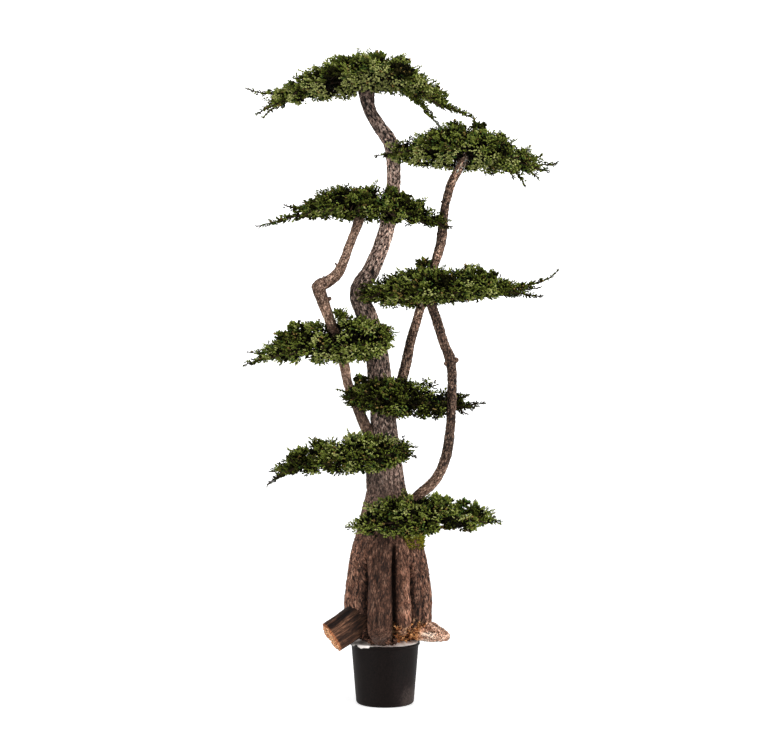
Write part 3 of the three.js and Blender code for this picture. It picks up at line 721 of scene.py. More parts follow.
def groove_cut_and_shade(angles, heights, full):
    """How deep the grooves of the foot cut in at every ring and angle, and their painted shade."""
    turned = (np.degrees(angles) - GROOVE_ANGLES[0]) % 360 + GROOVE_ANGLES[0]
    column = np.clip(np.searchsorted(GROOVE_ANGLES, turned, "right") - 1, 0, len(GROOVE_ANGLES) - 2)
    low = GROOVE_ANGLES[column]
    high = GROOVE_ANGLES[column + 1]
    across = 2 * (turned - low) / (high - low) - 1
    below = np.where(across < 0, GROOVE_TOPS[column], GROOVE_TOPS[column + 1])[None] - heights[:, None]
    rise = smoothstep(heights, FOOT, FLARE_WIDEST)[:, None]
    depth = GROOVE_FOOT_DEPTH + (GROOVE_DEPTH - GROOVE_FOOT_DEPTH) * rise
    column_cut = smoothstep(below, 0, GROOVE_FADE) * depth * (1 - np.sqrt(np.maximum(1 - across ** 2, 0)))
    away = np.radians(np.minimum(turned - low, high - turned))[None] * full[:, None]
    slit = smoothstep(below, -10, SLIT_FADE) * np.exp(-(away / SLIT_WIDTH) ** 2)
    valley_shade = smoothstep(below, 0, GROOVE_FADE) * smoothstep(np.abs(across), 0.48, 1)
    # Painted shade: darkest in the slits and darker across the valleys between the columns.
    return column_cut + SLIT_DEPTH * slit * rise, 1 - (1 - 0.9 * slit) * (1 - 0.55 * valley_shade)


def painted_trunk_light(turned, heights):
    """How much painted shadow darkens the trunk under the masses, and painted light and a highlight lighten
    it.
    """
    shade = 1
    for level, half, turn, spread, amount in PAINTED_LIGHT_STRETCHES:
        near = np.exp(-((heights[:, None] - level) / half) ** 2)
        shade = shade * (1 - amount * near * np.exp(-((turned - turn) / spread) ** 2))
    return shade


def stout_column(turned, heights, place):
    """How far the middle front column stands out at its foot."""
    face = np.exp(-((turned - STOUT_TURN) / STOUT_SPREAD) ** 4)
    low = 1 - smoothstep(heights, *STOUT_LEVELS)
    return STOUT_DEPTH * face[None] * low[:, None] * (1 + 0.35 * noise(place / 13, 57))


def plaster_smear(turned, heights, place):
    """Where plaster has been smeared up the front of the foot."""
    face = np.exp(-((turned - SMEAR_TURN) / SMEAR_SPREAD) ** 2)
    low = 1 - smoothstep(heights[:, None] + 14 * noise(place / 12, 53), *SMEAR_LEVELS)
    return SMEAR_AMOUNT * face[None] * low


def raw_foot(angles, heights, place):
    """Where the foot is sawn and shows raw orange wood: low down, front right."""
    degrees = np.degrees(angles)
    face = smoothstep(degrees, *RAW_LEFT) * (1 - smoothstep(degrees, *RAW_RIGHT))
    ragged = 26 * fractal(place / (14, 14, 20), 2, 51)
    return face[None] * (1 - smoothstep(heights[:, None] + ragged, *RAW_LEVELS))


def trunk_tint(turned, heights, place, tone, upper, raw, dark):
    """The trunk's colours: brown below and grey above, raw wood and plaster at the foot, painted shade in
    the grooves, and painted shadow and light on some stretches.
    """
    dull = 1 - 0.55 * np.exp(-((turned + 12) / 22) ** 2)
    worn = toned(FOOT_BARK, tone) * dull[None, :, None]
    tint = worn + (toned(GREY_BARK, tone) - worn) * upper[..., None]
    # Painted shadow under the masses and painted light on some stretches of the trunk.
    tint = tint * painted_trunk_light(turned, heights)[..., None]
    raw = raw[..., None]
    # dark is the painted shade in the grooves.
    tint = (tint + (toned(RAW_WOOD, tone) - tint) * raw) * (1 - dark)[..., None]
    tint = tint + (CUT_WOOD[2] - tint) * 2 * raw * (1 - raw)
    return tint + (PLASTER[0] - tint) * plaster_smear(turned, heights, place)[..., None]


def make_trunk():
    """The trunk: a fluted, stringy foot that runs up into netted bark."""
    limb = Limb(TRUNK, TRUNK_STEP)
    angles = ring_angles(TRUNK_SIDES)
    turned = turned_front(angles)
    heights = limb.centre[:, 2]
    full = limb.radius + flare_at(heights)
    cut, dark = groove_cut_and_shade(angles, heights, full)
    place = limb.bark_place(angles, full)
    upper = smoothstep(heights, *YOUNG_LEVELS)[:, None]
    young = netted_bark(place, 3)
    old = stringy_bark(place * (1.4, 1.4, 1), 17)
    height = old + (young - old) * upper
    depth = OLD_RELIEF + (YOUNG_RELIEF - OLD_RELIEF) * upper
    swell = (1 - upper) * 3 * fractal(place / (60, 60, 140), 2, 31)
    raw = raw_foot(angles, heights, place)
    radius = limb.rounded(full[:, None] - cut, 16)
    radius = radius + depth * (height - 0.6) + swell - RAW_DEPTH * raw
    radius = radius + stout_column(turned, heights, place)
    tone = 0.12 + 0.68 * height + 0.05 * fractal(place / (45, 45, 120), 3, 41)
    tint = trunk_tint(turned, heights, place, tone, upper, raw, dark)
    grain = limb.grain_place(angles, full, 3.8 + 1.7 * upper[:, 0], 14 - 3 * upper[:, 0])
    flank = 1 - np.exp(-(turned / 42) ** 2)
    fleck = 0.55 + 0.45 * flank + 0.45 * (1 - flank) * smoothstep(heights, 620, 800)[:, None]
    shell = Shell()
    shell.add_limb(limb, radius, angles, tint, grain, fleck)
    add_chips(shell, limb, RAW_CHIPS, RAW_WOOD)
    add_chips(shell, limb, BARK_CHIPS, FOOT_BARK)
    add_chips(shell, limb, FRONT_CHIPS, FOOT_BARK)
    shell.piece("trunk_bark", bark, "bark", ["trunk"])
    return limb


def foot_place(trunk, height, turn, sunk):
    """A point at the trunk's foot, sunk this far under the bark, and the direction out of it."""
    ring = np.argmin(np.abs(trunk.centre[:, 2] - height))
    out = trunk.way_out(ring, math.radians(turn))
    return trunk.centre[ring] + out * (trunk.radius[ring] + flare_at(height) - sunk), out


def add_chips(shell, trunk, kind, colours):
    """Torn chips of wood or bark that stand out of the foot."""
    random = np.random.default_rng(kind["seed"])
    for _ in range(kind["count"]):
        where = [random.uniform(*kind[key]) for key in ("levels", "turns", "sunk")]
        root, out = foot_place(trunk, *where)
        across = np.cross((0, 0, 1), out) * random.normal(0, 0.8)
        way = unit(across + out * random.uniform(0.1, 0.6) + (0, 0, random.normal(0.2, 0.5)))
        tip = root + way * random.uniform(*kind["lengths"])
        points, faces = spindle(root - way * 8, tip, random.uniform(3, 6.5))
        shell.add(points, toned(colours, random.uniform(*kind["tones"])), [faces])


def make_bough(name, look):
    """A bough with netted bark, swollen where it leaves its parent, and its cut twigs."""
    limb = Limb(look["stations"], BOUGH_STEP)
    angles = ring_angles(BOUGH_SIDES)
    share = limb.run / limb.run[-1]
    seed = look["seed"]
    collar = 1 + 0.45 * np.exp(-limb.run / 22)
    radius = np.repeat((limb.radius * collar)[:, None], len(angles), 1)
    place = limb.bark_place(angles, limb.radius)
    height = netted_bark(place, seed)
    swell = fractal(place / (30, 30, 70), 2, seed + 20)
    radius = limb.rounded(radius, 9) + look["relief"] * (height - 0.65) + 1.2 * swell
    tone = 0.1 + 0.7 * height + 0.2 * fractal(place / (30, 30, 90), 2, seed + 30)
    # Painted light and shade along the bough, and painted shade on its left side.
    shade = np.interp(share, *zip(*look["painted_light_knots"]))[:, None]
    shade = shade * (1 - (1 - look["painted_left_shade"]) * smoothstep(-np.sin(angles), -0.1, 0.7))
    tint = np.minimum(toned(BOUGH_BARK, tone) * shade[..., None], 0.9)
    grain = limb.grain_place(angles, limb.radius, *look["cell"])
    fleck = np.interp(share, *zip(*look["flecks"]))[:, None]
    shell = Shell()
    shell.add_limb(limb, radius, angles, tint, grain, fleck)
    for stub in look["stubs"]:
        add_stub(shell, limb, *stub)
    shell.piece(name, look["bark"], "bark", look["nodes"])
    return limb


def add_stub(shell, limb, share, turn, length, thick):
    """A cut twig: a short tapered peg with a pale end."""
    ring = min(int(share * len(limb.run)), len(limb.run) - 1)
    out = limb.way_out(ring, math.radians(turn))
    lean = unit(out + 0.35 * limb.along[ring])
    start = limb.centre[ring] + out * limb.radius[ring] * 0.3
    end = limb.centre[ring] + lean * (length * 0.55 + limb.radius[ring] * 0.5)
    peg = Limb([(*start, thick), (*((start + end) / 2), thick * 0.92), (*end, thick * 0.8)], 3)
    angles = ring_angles(STUB_SIDES)
    rough = 0.7 * noise(peg.bark_place(angles, peg.radius) / 5, 5)
    points, faces = peg.closed(peg.rounded(peg.radius[:, None] + rough, thick * 0.5), angles)
    tint = np.tile(toned(BOUGH_BARK, 0.4), (len(points), 1))
    tint[-1] = CUT_WOOD[2]
    shell.add(points, tint, faces)


def make_root_left():
    """The sawn side root: a stout log with streaked bark and a pale fibrous cut end."""
    limb = Limb(ROOT_LEFT, 3)
    angles = ring_angles(ROOT_SIDES)
    place = limb.bark_place(angles, limb.radius)
    streak = stringy_bark(place * (1, 1, 0.5), 61)
    radius = limb.radius[:, None] + 3.4 * (streak - 0.7) + 2 * fractal(place / (40, 40, 90), 2, 63)
    # Painted shade: the log is darker near the trunk, where shadow falls, and painted lighter towards its
    # sawn end.
    painted_log_light = 0.7 + 0.5 * smoothstep(limb.run, 90, 165)
    tint = toned(LOG_BARK, streak + 0.2 * fractal(place / 30, 2, 64)) * painted_log_light[:, None, None]
    edge = smoothstep(limb.run, limb.run[-1] - 7, limb.run[-1] - 1)[:, None, None]
    tint = tint + (CUT_WOOD[1] - tint) * 0.7 * edge
    points, (walls, ends) = limb.closed(radius, angles)
    rim = points[-2 - ROOT_SIDES:-2]
    rim += limb.along[-1] * (4 * fractal(rim / 14, 3, 65))[:, None]
    grain = limb.grain_place(angles, limb.radius, 4, 26)
    shell = Shell()
    shell.add(points, with_ends(tint), [walls, ends[:ROOT_SIDES]], with_ends(grain), 0.6)
    add_cut_face(shell, limb, rim)
    shell.piece("root_left_bark", root_bark, "root_wood", ["root_left"])
    return limb


def add_cut_face(shell, limb, rim):
    """The log's sawn end: growth rings, torn fibres and a slightly hollow middle."""
    shares = np.linspace(1, 0.02, 26)[:, None]
    heart = limb.centre[-1] + 8 * limb.front[-1] - 6 * limb.side[-1]
    disc = heart + (rim - heart)[None] * shares[..., None]
    fibre = fractal(disc / 5, 3, 71)
    lift = np.where(shares == 1, 0, 3.5 * fibre + 2 * (1 - shares))
    disc = disc + limb.along[-1] * lift[..., None]
    growth = 0.5 + 0.5 * np.sin(shares * 60 + 3 * noise(disc / 18, 73))
    tint = toned(CUT_WOOD, 0.55 + 0.2 * growth + 0.5 * fibre)
    rings, sides = fibre.shape
    points = np.vstack([disc.reshape(-1, 3), disc[-1].mean(axis=0)])
    faces = [ring_faces(rings, sides), fan_faces((rings - 1) * sides, rings * sides, sides, True)]
    shell.add(points, np.vstack([tint.reshape(-1, 3), tint[-1, 0]]), faces)


def make_root_right():
    """The flat flare of root on the other side: pale, rough and drawn out to an edge."""
    limb = Limb(ROOT_RIGHT, 2.5)
    angles = ring_angles(ROOT_SIDES)
    squash = 1 / np.hypot(np.cos(angles) / ROOT_RIGHT_FLAT, np.sin(angles))
    place = limb.bark_place(angles, limb.radius)
    rough = stringy_bark(place * (1.3, 1.3, 1.2), 81)
    fade = np.clip(limb.radius / 30, 0.25, 1)[:, None]
    radius = limb.rounded(limb.radius[:, None] * squash, 6)
    radius = radius + fade * (9 * (rough - 0.6) + 4 * fractal(place / 24, 3, 83))
    tone = rough + 0.1 + 0.3 * fractal(place / 16, 3, 84)
    tint = toned(FLARE_WOOD, tone)
    raw = (1 - smoothstep(limb.run, 46, 70))[:, None, None]
    tint = tint + (toned(RAW_WOOD, tone) - tint) * raw
    shell = Shell()
    shell.add_limb(limb, radius, angles, tint, limb.grain_place(angles, limb.radius, 3, 4))
    shell.piece("root_right_bark", root_bark, "root_wood", ["root_right"])
    return limb


def level_ring(angles, radius, level):
    """A level ring of points about the upright axis."""
    level = np.broadcast_to(level, len(angles))
    return np.column_stack([np.sin(angles) * radius, -np.cos(angles) * radius, level])


def lathe(profile, sides):
    """Points and faces of a closed form turned about the upright axis; the profile runs up its outside."""
    rings = [level_ring(ring_angles(sides), radius, level) for radius, level in profile]
    points = np.vstack(rings + [[(0, 0, profile[0][1]), (0, 0, profile[-1][1])]])
    return points, tube_faces(len(profile), sides)


def quarter_round(radius, size, steps):
    """Profile points of a round corner, from a level floor up to an upright wall."""
    bends = [math.pi / 2 * step / steps for step in range(1, steps + 1)]
    return [(radius + size * math.sin(bend), size - size * math.cos(bend)) for bend in bends]


def make_pot():
    """The nursery pot: thin black plastic with a foot ring, a round corner and a small rolled lip."""
    base, top = POT_WALL
    profile = [(20, 3), (70, 3), (73, 0.6), (75, 0), (base - POT_CORNER, 0)]
    profile += quarter_round(base - POT_CORNER, POT_CORNER, 6)
    for share in np.linspace(0, 1, 40)[1:]:
        profile.append((base + (top - base) * share, POT_CORNER + (POT_SHOULDER - POT_CORNER) * share))
    profile += [(104.6, 177.6), (105.8, 178.6), (POT_LIP, 180), (POT_LIP, 183.6), (105.4, 184.8)]
    profile += [(104.4, POT_RIM), (101.8, POT_RIM), (100.9, 184.4), (POT_BORE, 183), (99.6, POT_FLOOR)]
    profile += [(20, POT_FLOOR)]
    points, faces = lathe(profile, POT_SIDES)
    dust = fractal(points / (9, 9, 12), 3, 91)
    # Lighter at the lower right, from dust and painted light on the lit side, and a painted highlight on the
    # top of the lip.
    side = smoothstep(points[:, 0], 0, 70) * (1 - smoothstep(points[:, 2], 20, 130))
    lip = smoothstep(points[:, 2], 183, 185)
    shell = Shell()
    shell.add(points, toned(PLASTIC, 0.2 + 0.06 * dust + 0.5 * side + 0.3 * lip), faces)
    shell.piece("pot_plastic", black_plastic, "pot", ["pot"])


def rim_noise(degrees, width, seed):
    """Noise along the pot's rim."""
    return noise(np.outer(degrees / width, (1, 0, 0)), seed)


def plaster_ring(angles, share, spill):
    """One ring of the plaster's lumpy top, which rises to the trunk and to the spill."""
    flat = level_ring(angles, POT_BORE * share, 0)
    lumps = 1.5 * fractal(flat / 22, 4, 96)
    mound = 10 * (1 - smoothstep(np.linalg.norm(flat[:, :2] - PLASTER_MIDDLE, axis=1), 70, 98))
    edge = 2.4 * spill * smoothstep(share, 0.7, 1)
    flat[:, 2] = PLASTER_LEVEL + mound + lumps * (1 - 0.6 * share ** 4) + edge
    return flat


def make_plaster():
    """The plaster that holds the trunk: a lumpy top that has run over the lip at the front left."""
    angles = ring_angles(PLASTER_SIDES)
    degrees = turned_front(angles)
    spill = smoothstep(degrees, *SPILL_LEFT) * (1 - smoothstep(degrees, *SPILL_RIGHT))
    spill = np.clip(spill * (0.9 + 0.3 * rim_noise(degrees, 9, 95)), 0, 1)
    rings = [plaster_ring(angles, share, spill) for share in np.linspace(0.3, 1, 26)]
    lip = POT_BORE + (POT_LIP + 1.4 - POT_BORE) * spill
    drip = spill * (8 + 3 * rim_noise(degrees, 6, 97))
    level = rings[-1][:, 2]
    edges = (
        (POT_BORE * 0.4 + lip * 0.6, level),
        (lip, level - 1.4 * spill),
        (lip + 0.5 * spill, level - 0.6 * drip),
        (lip - 0.6 * spill, level - drip - 0.5),
        (POT_BORE - 0.8, 178.5),
        (30, PLASTER_BASE),
    )
    rings += [level_ring(angles, *edge) for edge in edges]
    points = np.vstack(rings[::-1] + [[(0, 0, PLASTER_BASE), (0, 0, 184)]])
    # Painted shade next to the trunk's foot; lighter towards the rim.
    near = 1 - smoothstep(np.linalg.norm(points[:, :2] - PLASTER_MIDDLE, axis=1), 66, 92)
    outer = smoothstep(np.linalg.norm(points[:, :2], axis=1), POT_BORE - 8, POT_BORE + 4)
    tone = 0.65 + 0.3 * fractal(points / 18, 4, 98) - 0.3 * near + 0.5 * outer
    shell = Shell()
    shell.add(points, toned(PLASTER, tone), tube_faces(len(rings), PLASTER_SIDES))
    shell.piece("plaster_fill", plaster, "plaster", ["pot_filling"])


def spindle(root, tip, radius):
    """A slim closed form: two points joined by a three-sided waist."""
    along = unit(tip - root)
    across = unit(np.cross(along, (0.31, 0.17, 0.93)))
    other = np.cross(along, across)
    waist = root + (tip - root) * 0.58
    ring = [waist + radius * (across * math.cos(a) + other * math.sin(a)) for a in ring_angles(3)]
    faces = [(0, 2, 1), (0, 3, 2), (0, 1, 3), (1, 2, 4), (2, 3, 4), (3, 1, 4)]
    return np.array([root, *ring, tip]), np.array(faces)


def joined(forms):
    """Several forms of the same make as one array of points and one of faces."""
    size = len(forms[0][0])
    points = np.vstack([form[0] for form in forms])
    return points, np.vstack([form[1] + size * k for k, form in enumerate(forms)])


def make_moss(trunk):
    """A tuft of yellow-green moss on the trunk's right flank, under the lowest mass."""
    random = np.random.default_rng(7)
    points, faces = joined([moss_leaf(trunk, random) for _ in range(MOSS_LEAVES)])
    colours = np.repeat(random.integers(0, len(MOSSES), MOSS_LEAVES), len(faces) // MOSS_LEAVES)
    add_piece("moss_tuft", points, [faces], MOSSES, "foliage", ["trunk"], colours=colours)


def moss_leaf(trunk, random):
    """One small leaf of moss, rooted in the bark. The tuft is round with a ragged edge."""
    around = random.uniform(0, 2 * math.pi)
    share = random.uniform(0, 1) ** 0.6 * (1 + MOSS_RAGGED * math.sin(3 * around + 1))
    height = MOSS_LEVEL[0] + MOSS_LEVEL[1] * share * math.sin(around)
    turn = MOSS_TURN[0] + MOSS_TURN[1] * share * math.cos(around)
    root, out = foot_place(trunk, height, turn, 3)
    way = unit(out + random.normal(0, 0.6, 3) + (0, 0, 0.2))
    return spindle(root, root + way * random.uniform(7, 14), 1.6)


class Draw:
    """The part's seeded run of numbers from 0 to 1."""

    def __init__(self, seed):
        self.state = seed
        for _ in range(8):
            self.next()

    def next(self):
        self.state = (self.state * 1664525 + 1013904223) % 2 ** 32
        return self.state / 2 ** 32


def pad_reach(pad, heading):
    """How far a mass reaches from its hub at a heading seen from above."""
    wave = sum(np.cos(count * heading + pad["seed"]) for count in LOBE_COUNTS) / len(LOBE_COUNTS)
    across = np.where(np.cos(heading) < 0, pad["left"], pad["right"])
    depth = np.where(np.sin(heading) < 0, pad["front"], pad["back"])
    return (1 + LOBE_AMOUNT * wave) / np.hypot(np.cos(heading) / across, np.sin(heading) / depth)


def pad_point(pad, heading, share, lift):
    """A point in a mass: share from hub to rim, lift from its underside to its top."""
    reach = pad_reach(pad, heading) * share
    drop = np.where(np.cos(heading) < 0, pad["left_drop"], pad["right_drop"])
    drop = drop * np.cos(heading) ** 2 * share ** 2
    opened = np.maximum(0, 1 - share ** 3)
    rightward = 0.5 + 0.5 * np.cos(heading) * smoothstep(share, 0, 0.3)
    down = pad["down"][0] + (pad["down"][1] - pad["down"][0]) * rightward
    floor = drop - down * opened ** 0.6
    top = drop + pad["up"] * opened ** 0.75
    raised = pad.get("back_rise", 0) * np.maximum(np.sin(heading), 0) * share ** 1.5
    level = floor + (top - floor) * lift + raised
    return np.array(pad["hub"]) + np.stack([reach * np.cos(heading), reach * np.sin(heading), level], -1)


def pad_area(pad):
    return math.pi / 4 * (pad["left"] + pad["right"]) * (pad["front"] + pad["back"])


def main_shoots(pad):
    """The shoots that leave the hub all round, as lists of points."""
    draw = Draw(pad["seed"])
    shoots = []
    for index in range(SHOOTS):
        heading = 2 * math.pi * (index + SHOOT_SPREAD * (draw.next() - 0.5)) / SHOOTS
        shares = np.array(SHOOT_SHARES) * (0.98 + 0.1 * draw.next())
        shoots.append(pad_point(pad, np.full(len(shares), heading), shares, SHOOT_LIFT))
    return shoots


def tail_shoots(pad):
    """The long trailing shoots, as lists of points that bend over the rim and run out to a tip."""
    shoots = []
    shares = np.linspace(0, 1, 9)[:, None]
    for degrees, reach, drop, turn in pad["tails"]:
        heading = math.radians(degrees)
        root = pad_point(pad, heading, min(0.5, turn * 0.6), SHOOT_LIFT)
        bend = pad_point(pad, heading, turn, SHOOT_LIFT)
        tip = np.array(pad["hub"]) + (reach * math.cos(heading), reach * math.sin(heading), drop)
        shoots.append(root * (1 - shares) ** 2 + bend * 2 * shares * (1 - shares) + tip * shares ** 2)
    return shoots


def fringe_shoots(pad, random):
    """Short shoots that stand out of the rim all round, as lists of points."""
    shoots = []
    for index in range(FRINGE_SHOOTS):
        heading = 2 * math.pi * (index + random.uniform(-0.4, 0.4)) / FRINGE_SHOOTS
        shares = np.linspace(0.75, random.uniform(1.0, 1.1), 5)
        line = pad_point(pad, np.full(5, heading), np.minimum(shares, 1), random.uniform(0.25, 0.6))
        beyond = np.maximum(shares - 1, 0) * pad_reach(pad, heading)
        way = (math.cos(heading), math.sin(heading), random.uniform(-0.7, 0))
        shoots.append(line + np.outer(beyond, way))
    return shoots


def surface_lumps(pad, kind, random):
    """Lumps spread evenly over the top or the underside of a mass: centres, axes and tones."""
    count = int(pad_area(pad) / kind["spacing"] ** 2)
    index = np.arange(count)
    heading = index * GOLDEN + random.uniform(-0.25, 0.25, count)
    share = np.sqrt((index + 0.5) / count) * (1 - SURFACE_EDGE / pad_reach(pad, heading))
    low = pad_point(pad, heading, share, np.zeros(count))
    high = pad_point(pad, heading, share, np.ones(count))
    deep = np.minimum(kind["inset"], (high - low)[:, 2] * 0.5) + random.uniform(-7, 7, count)
    inward = np.outer(deep, (0, 0, 1))
    centres = high - inward if kind["rise"] > 0 else low + inward
    out = np.column_stack([np.cos(heading), np.sin(heading), np.zeros(count)])
    axes = unit(out * kind["lean"] * share[:, None] ** 1.3 + np.array((0, 0, kind["rise"])))
    # Painted light and shade: the tone of the mass's top or underside.
    tone = kind["tone"] + pad.get(kind["part"], 0)
    return centres, axes, tone + random.uniform(*LUMP_TONES, count)


def rim_lumps(pad, kind, random):
    """Lumps along the rim of a mass that point outward."""
    girth = math.pi / 2 * (pad["left"] + pad["right"] + pad["front"] + pad["back"])
    count = int(girth / kind["spacing"])
    heading = (np.arange(count) + random.uniform(-0.3, 0.3, count)) * 2 * math.pi / count
    share = 1 - random.uniform(*kind["inset"], count) / pad_reach(pad, heading)
    centres = pad_point(pad, heading, share, random.uniform(0.25, 0.75, count))
    axes = unit(np.column_stack([np.cos(heading), np.sin(heading), random.uniform(-0.15, 0.35, count)]))
    return centres, axes, kind["tone"] + random.uniform(*LUMP_TONES, count)


def tuft_lumps(pad, kind, random):
    """The extra lumps of a mass, stacked in twos."""
    rows = np.repeat(np.array(pad["tufts"], float), 2, axis=0)
    centres = pad_point(pad, np.radians(rows[:, 0]), rows[:, 1], np.ones(len(rows)))
    centres[:, 2] += rows[:, 2] - TOP_LUMPS["inset"]
    centres[1::2, 2] -= kind["stack"]
    axes = unit(np.column_stack([random.normal(0, 0.2, (len(rows), 2)), np.ones(len(rows))]))
    # Tufts take the painted tone of the mass's top.
    return centres, axes, np.full(len(rows), kind["tone"] + pad.get("over", 0))


class Sprays:
    """The sprays of one mass: where each is rooted, where it points, its length and its tone."""

    def __init__(self):
        self.rows = []

    def add(self, roots, ways, sizes, tones):
        count = len(roots)
        columns = [roots, unit(ways), np.broadcast_to(sizes, count), np.broadcast_to(tones, count)]
        self.rows.append(np.column_stack(columns))

    def clear(self, name, limbs):
        """The sprays that touch no limb and don't cover a bough that shows."""
        rows = np.concatenate(self.rows)
        roots, reach = rows[:, :3], rows[:, 3:6] * rows[:, 6:7]
        free = np.ones(len(rows), bool)
        for share, margin in SPRAY_MARGINS:
            free &= clear_of(roots + reach * share, limbs, margin)
        for share in SPRAY_SIGHTS:
            free &= ~hides_bough(name, roots + reach * share)
        rows = rows[free]
        return rows[:, :3], rows[:, 3:6], rows[:, 6], rows[:, 7]


def clear_of(points, limbs, margin):
    """True for the points that are outside every limb by the margin."""
    free = np.ones(len(points), bool)
    for centre, radius in limbs:
        away = np.linalg.norm(points[:, None] - centre[None], axis=2) - radius
        free &= away.min(axis=1) > margin
    return free


def hides_bough(name, points):
    """True for the points that would cover a stretch of bough that shows in front of this mass."""
    if name not in PARTED:
        return np.zeros(len(points), bool)
    stations, low, high, left, right = PARTED[name]
    bough = Limb(stations, 6)
    ring = np.abs(bough.centre[None, :, 2] - points[:, None, 2]).argmin(axis=1)
    across = points[:, 0] - bough.centre[ring, 0]
    beside = (across > -bough.radius[ring] - left) & (across < bough.radius[ring] + right)
    return beside & (points[:, 1] < bough.centre[ring, 1]) & (points[:, 2] > low) & (points[:, 2] < high)


def open_shoots(name, pad, shoots):
    """The shoots that don't cross a bough which shows in front of this mass."""
    hub = pad_point(pad, 0.0, 0.0, SHOOT_LIFT)
    routes = [Limb(tapered(np.vstack([hub, line]), 1, 1), 6).centre for line in shoots]
    return [line for line, route in zip(shoots, routes) if not hides_bough(name, route).any()]


def cone_ways(axes, spread, count, random):
    """Directions spread evenly about each axis, as an array of axes by count by three."""
    seed = unit(np.cross(axes, (0.23, 0.91, 0.35)))
    other = np.cross(axes, seed)
    index = np.arange(count)
    polar = spread * np.sqrt((index + 0.5) / count) * random.uniform(0.85, 1.15, (len(axes), count))
    round_angle = index * GOLDEN + random.uniform(0, 2 * math.pi, (len(axes), 1))
    flat = seed[:, None] * np.cos(round_angle)[..., None] + other[:, None] * np.sin(round_angle)[..., None]
    return axes[:, None] * np.cos(polar)[..., None] + flat * np.sin(polar)[..., None]


def lump_sprays(sprays, lumps, kind, random):
    """Sprays that stand round the middle of every lump, which near-black sprays darken as painted shade."""
    centres, axes, tones = lumps
    leafy = kind["sprays"], kind["lengths"], kind.get("core", LUMP_CORE)
    for count, lengths, core in (leafy, (kind.get("dark", DARK_SPRAYS), DARK_LENGTH, 0)):
        ways = cone_ways(axes, kind["spread"], count, random)
        ways[..., 2] = np.where(ways[..., 2] < 0, ways[..., 2] * 0.35, ways[..., 2])
        shape = ways.shape[:2]
        tone = np.full(shape, DARK_TONE)
        if core:
            # Painted shade: darker towards the sides of the lump and on sprays that point up.
            shade = ways[..., 2] * 0.1 + LUMP_SHADE * (np.arange(count) / count - 0.5)
            tone = tones[:, None] - shade + random.uniform(*SPRAY_TONES, shape)
        roots = centres[:, None] + ways * core
        sizes = random.uniform(*lengths, shape)
        sprays.add(roots.reshape(-1, 3), ways.reshape(-1, 3), sizes.ravel(), tone.ravel())


def frond_sprays(sprays, pad, lumps, kind, random):
    """A feathered shoot from every lump, away from the hub or up; gives the ends of their stalks."""
    centres, axes, tones = lumps
    count = len(centres)
    size, part = kind["frond"]
    away = (centres - (centres if kind.get("upright") else pad["hub"])) * (1, 1, 0)
    away = away / np.maximum(np.linalg.norm(away, axis=1, keepdims=True), 60)
    ways = unit(away + 0.55 * axes + random.normal(0, 0.25, (count, 3)))
    flat = unit(np.cross(ways, axes + random.normal(0, 0.2, (count, 3))))
    lengths = part * random.uniform(*FROND_LENGTH, count)
    tones = tones + random.uniform(*FROND_TONES, count)
    for place in FROND_PLACES:
        roots = centres + ways * (FROND_ROOT + lengths * place)[:, None]
        sizes = lengths * size * (1 - 0.5 * place)
        for hand in (-1, 1):
            sprays.add(roots, ways + 0.75 * hand * flat, sizes, tones + 0.25 * (place - 0.4))
    roots = centres + ways * (FROND_ROOT + lengths * 0.72)[:, None]
    sprays.add(roots, ways, lengths * 0.67 * size, tones + 0.15)
    return np.stack([centres, centres + ways * (FROND_ROOT + lengths * 0.85)[:, None]], 1)


def grow_lumps(sprays, pad, random):
    """Leafs out every lump of a mass; gives the lumps' middles and the ends of the stalks on them."""
    makers = (surface_lumps, surface_lumps, rim_lumps, tuft_lumps)
    kinds = (TOP_LUMPS, UNDER_LUMPS, RIM_LUMPS, TUFT_LUMPS)
    grown = [(make(pad, kind, random), kind) for make, kind in zip(makers, kinds)]
    stalks = []
    for lumps, kind in grown:
        lump_sprays(sprays, lumps, kind, random)
        if "frond" in kind:
            stalks.append(frond_sprays(sprays, pad, lumps, kind, random))
    return np.concatenate([lumps[0] for lumps, _ in grown]), np.concatenate(stalks)


def inner_sprays(sprays, pad, random):
    """Large near-black sprays that fill the middle of a mass as painted shade."""
    count = int(pad_area(pad) / INNER_AREA)
    heading = random.uniform(0, 2 * math.pi, count)
    share = np.sqrt(random.uniform(0, 1, count)) * INNER_SHARE
    turn = random.uniform(0, 2 * math.pi, count)
    ways = np.column_stack([np.cos(turn), np.sin(turn), random.uniform(-0.2, 0.2, count)])
    roots = pad_point(pad, heading, share, random.uniform(0.3, 0.7, count))
    sprays.add(roots, ways, random.uniform(*INNER_LENGTH, count), DARK_TONE)


def tail_sprays(sprays, line, girth, hands, random):
    """Short sprays on both sides of a trailing shoot, smaller towards its bare tip."""
    limb = Limb(tapered(line, 1, 1), 5)
    count = len(limb.run)
    share = np.linspace(0, 1, count)
    flat = unit(np.column_stack([-limb.along[:, 1], limb.along[:, 0], np.zeros(count)]))
    leafy = limb.run < limb.run[-1] - 5
    for hand in hands:
        keep = leafy & (random.random(count) < 1 - TAIL_GAPS * share)
        way = limb.along * 0.8 + hand * flat * random.uniform(0.2, 1.0, count)[:, None]
        way = way + np.outer(random.uniform(-0.8, 0.9, count), (0, 0, 1))
        sizes = girth * (1 - TAIL_TAPER * share) * random.uniform(0.6, 1.25, count)
        tone = 0.38 - 0.16 * share + random.uniform(-0.32, 0.32, count)
        sprays.add(limb.centre[keep], way[keep], sizes[keep], tone[keep])


def tapered(line, start, end):
    """Stations along a line, with a radius that runs from start to end."""
    return np.column_stack([line, np.linspace(start, end, len(line))])


def add_tube(shell, line, start, end, sides):
    """A thin tapered twig along a line."""
    limb = Limb(tapered(np.array(line), start, end), 14)
    points, faces = limb.closed(np.repeat(limb.radius[:, None], sides, 1), ring_angles(sides))
    shell.add(points, TWIG, faces)


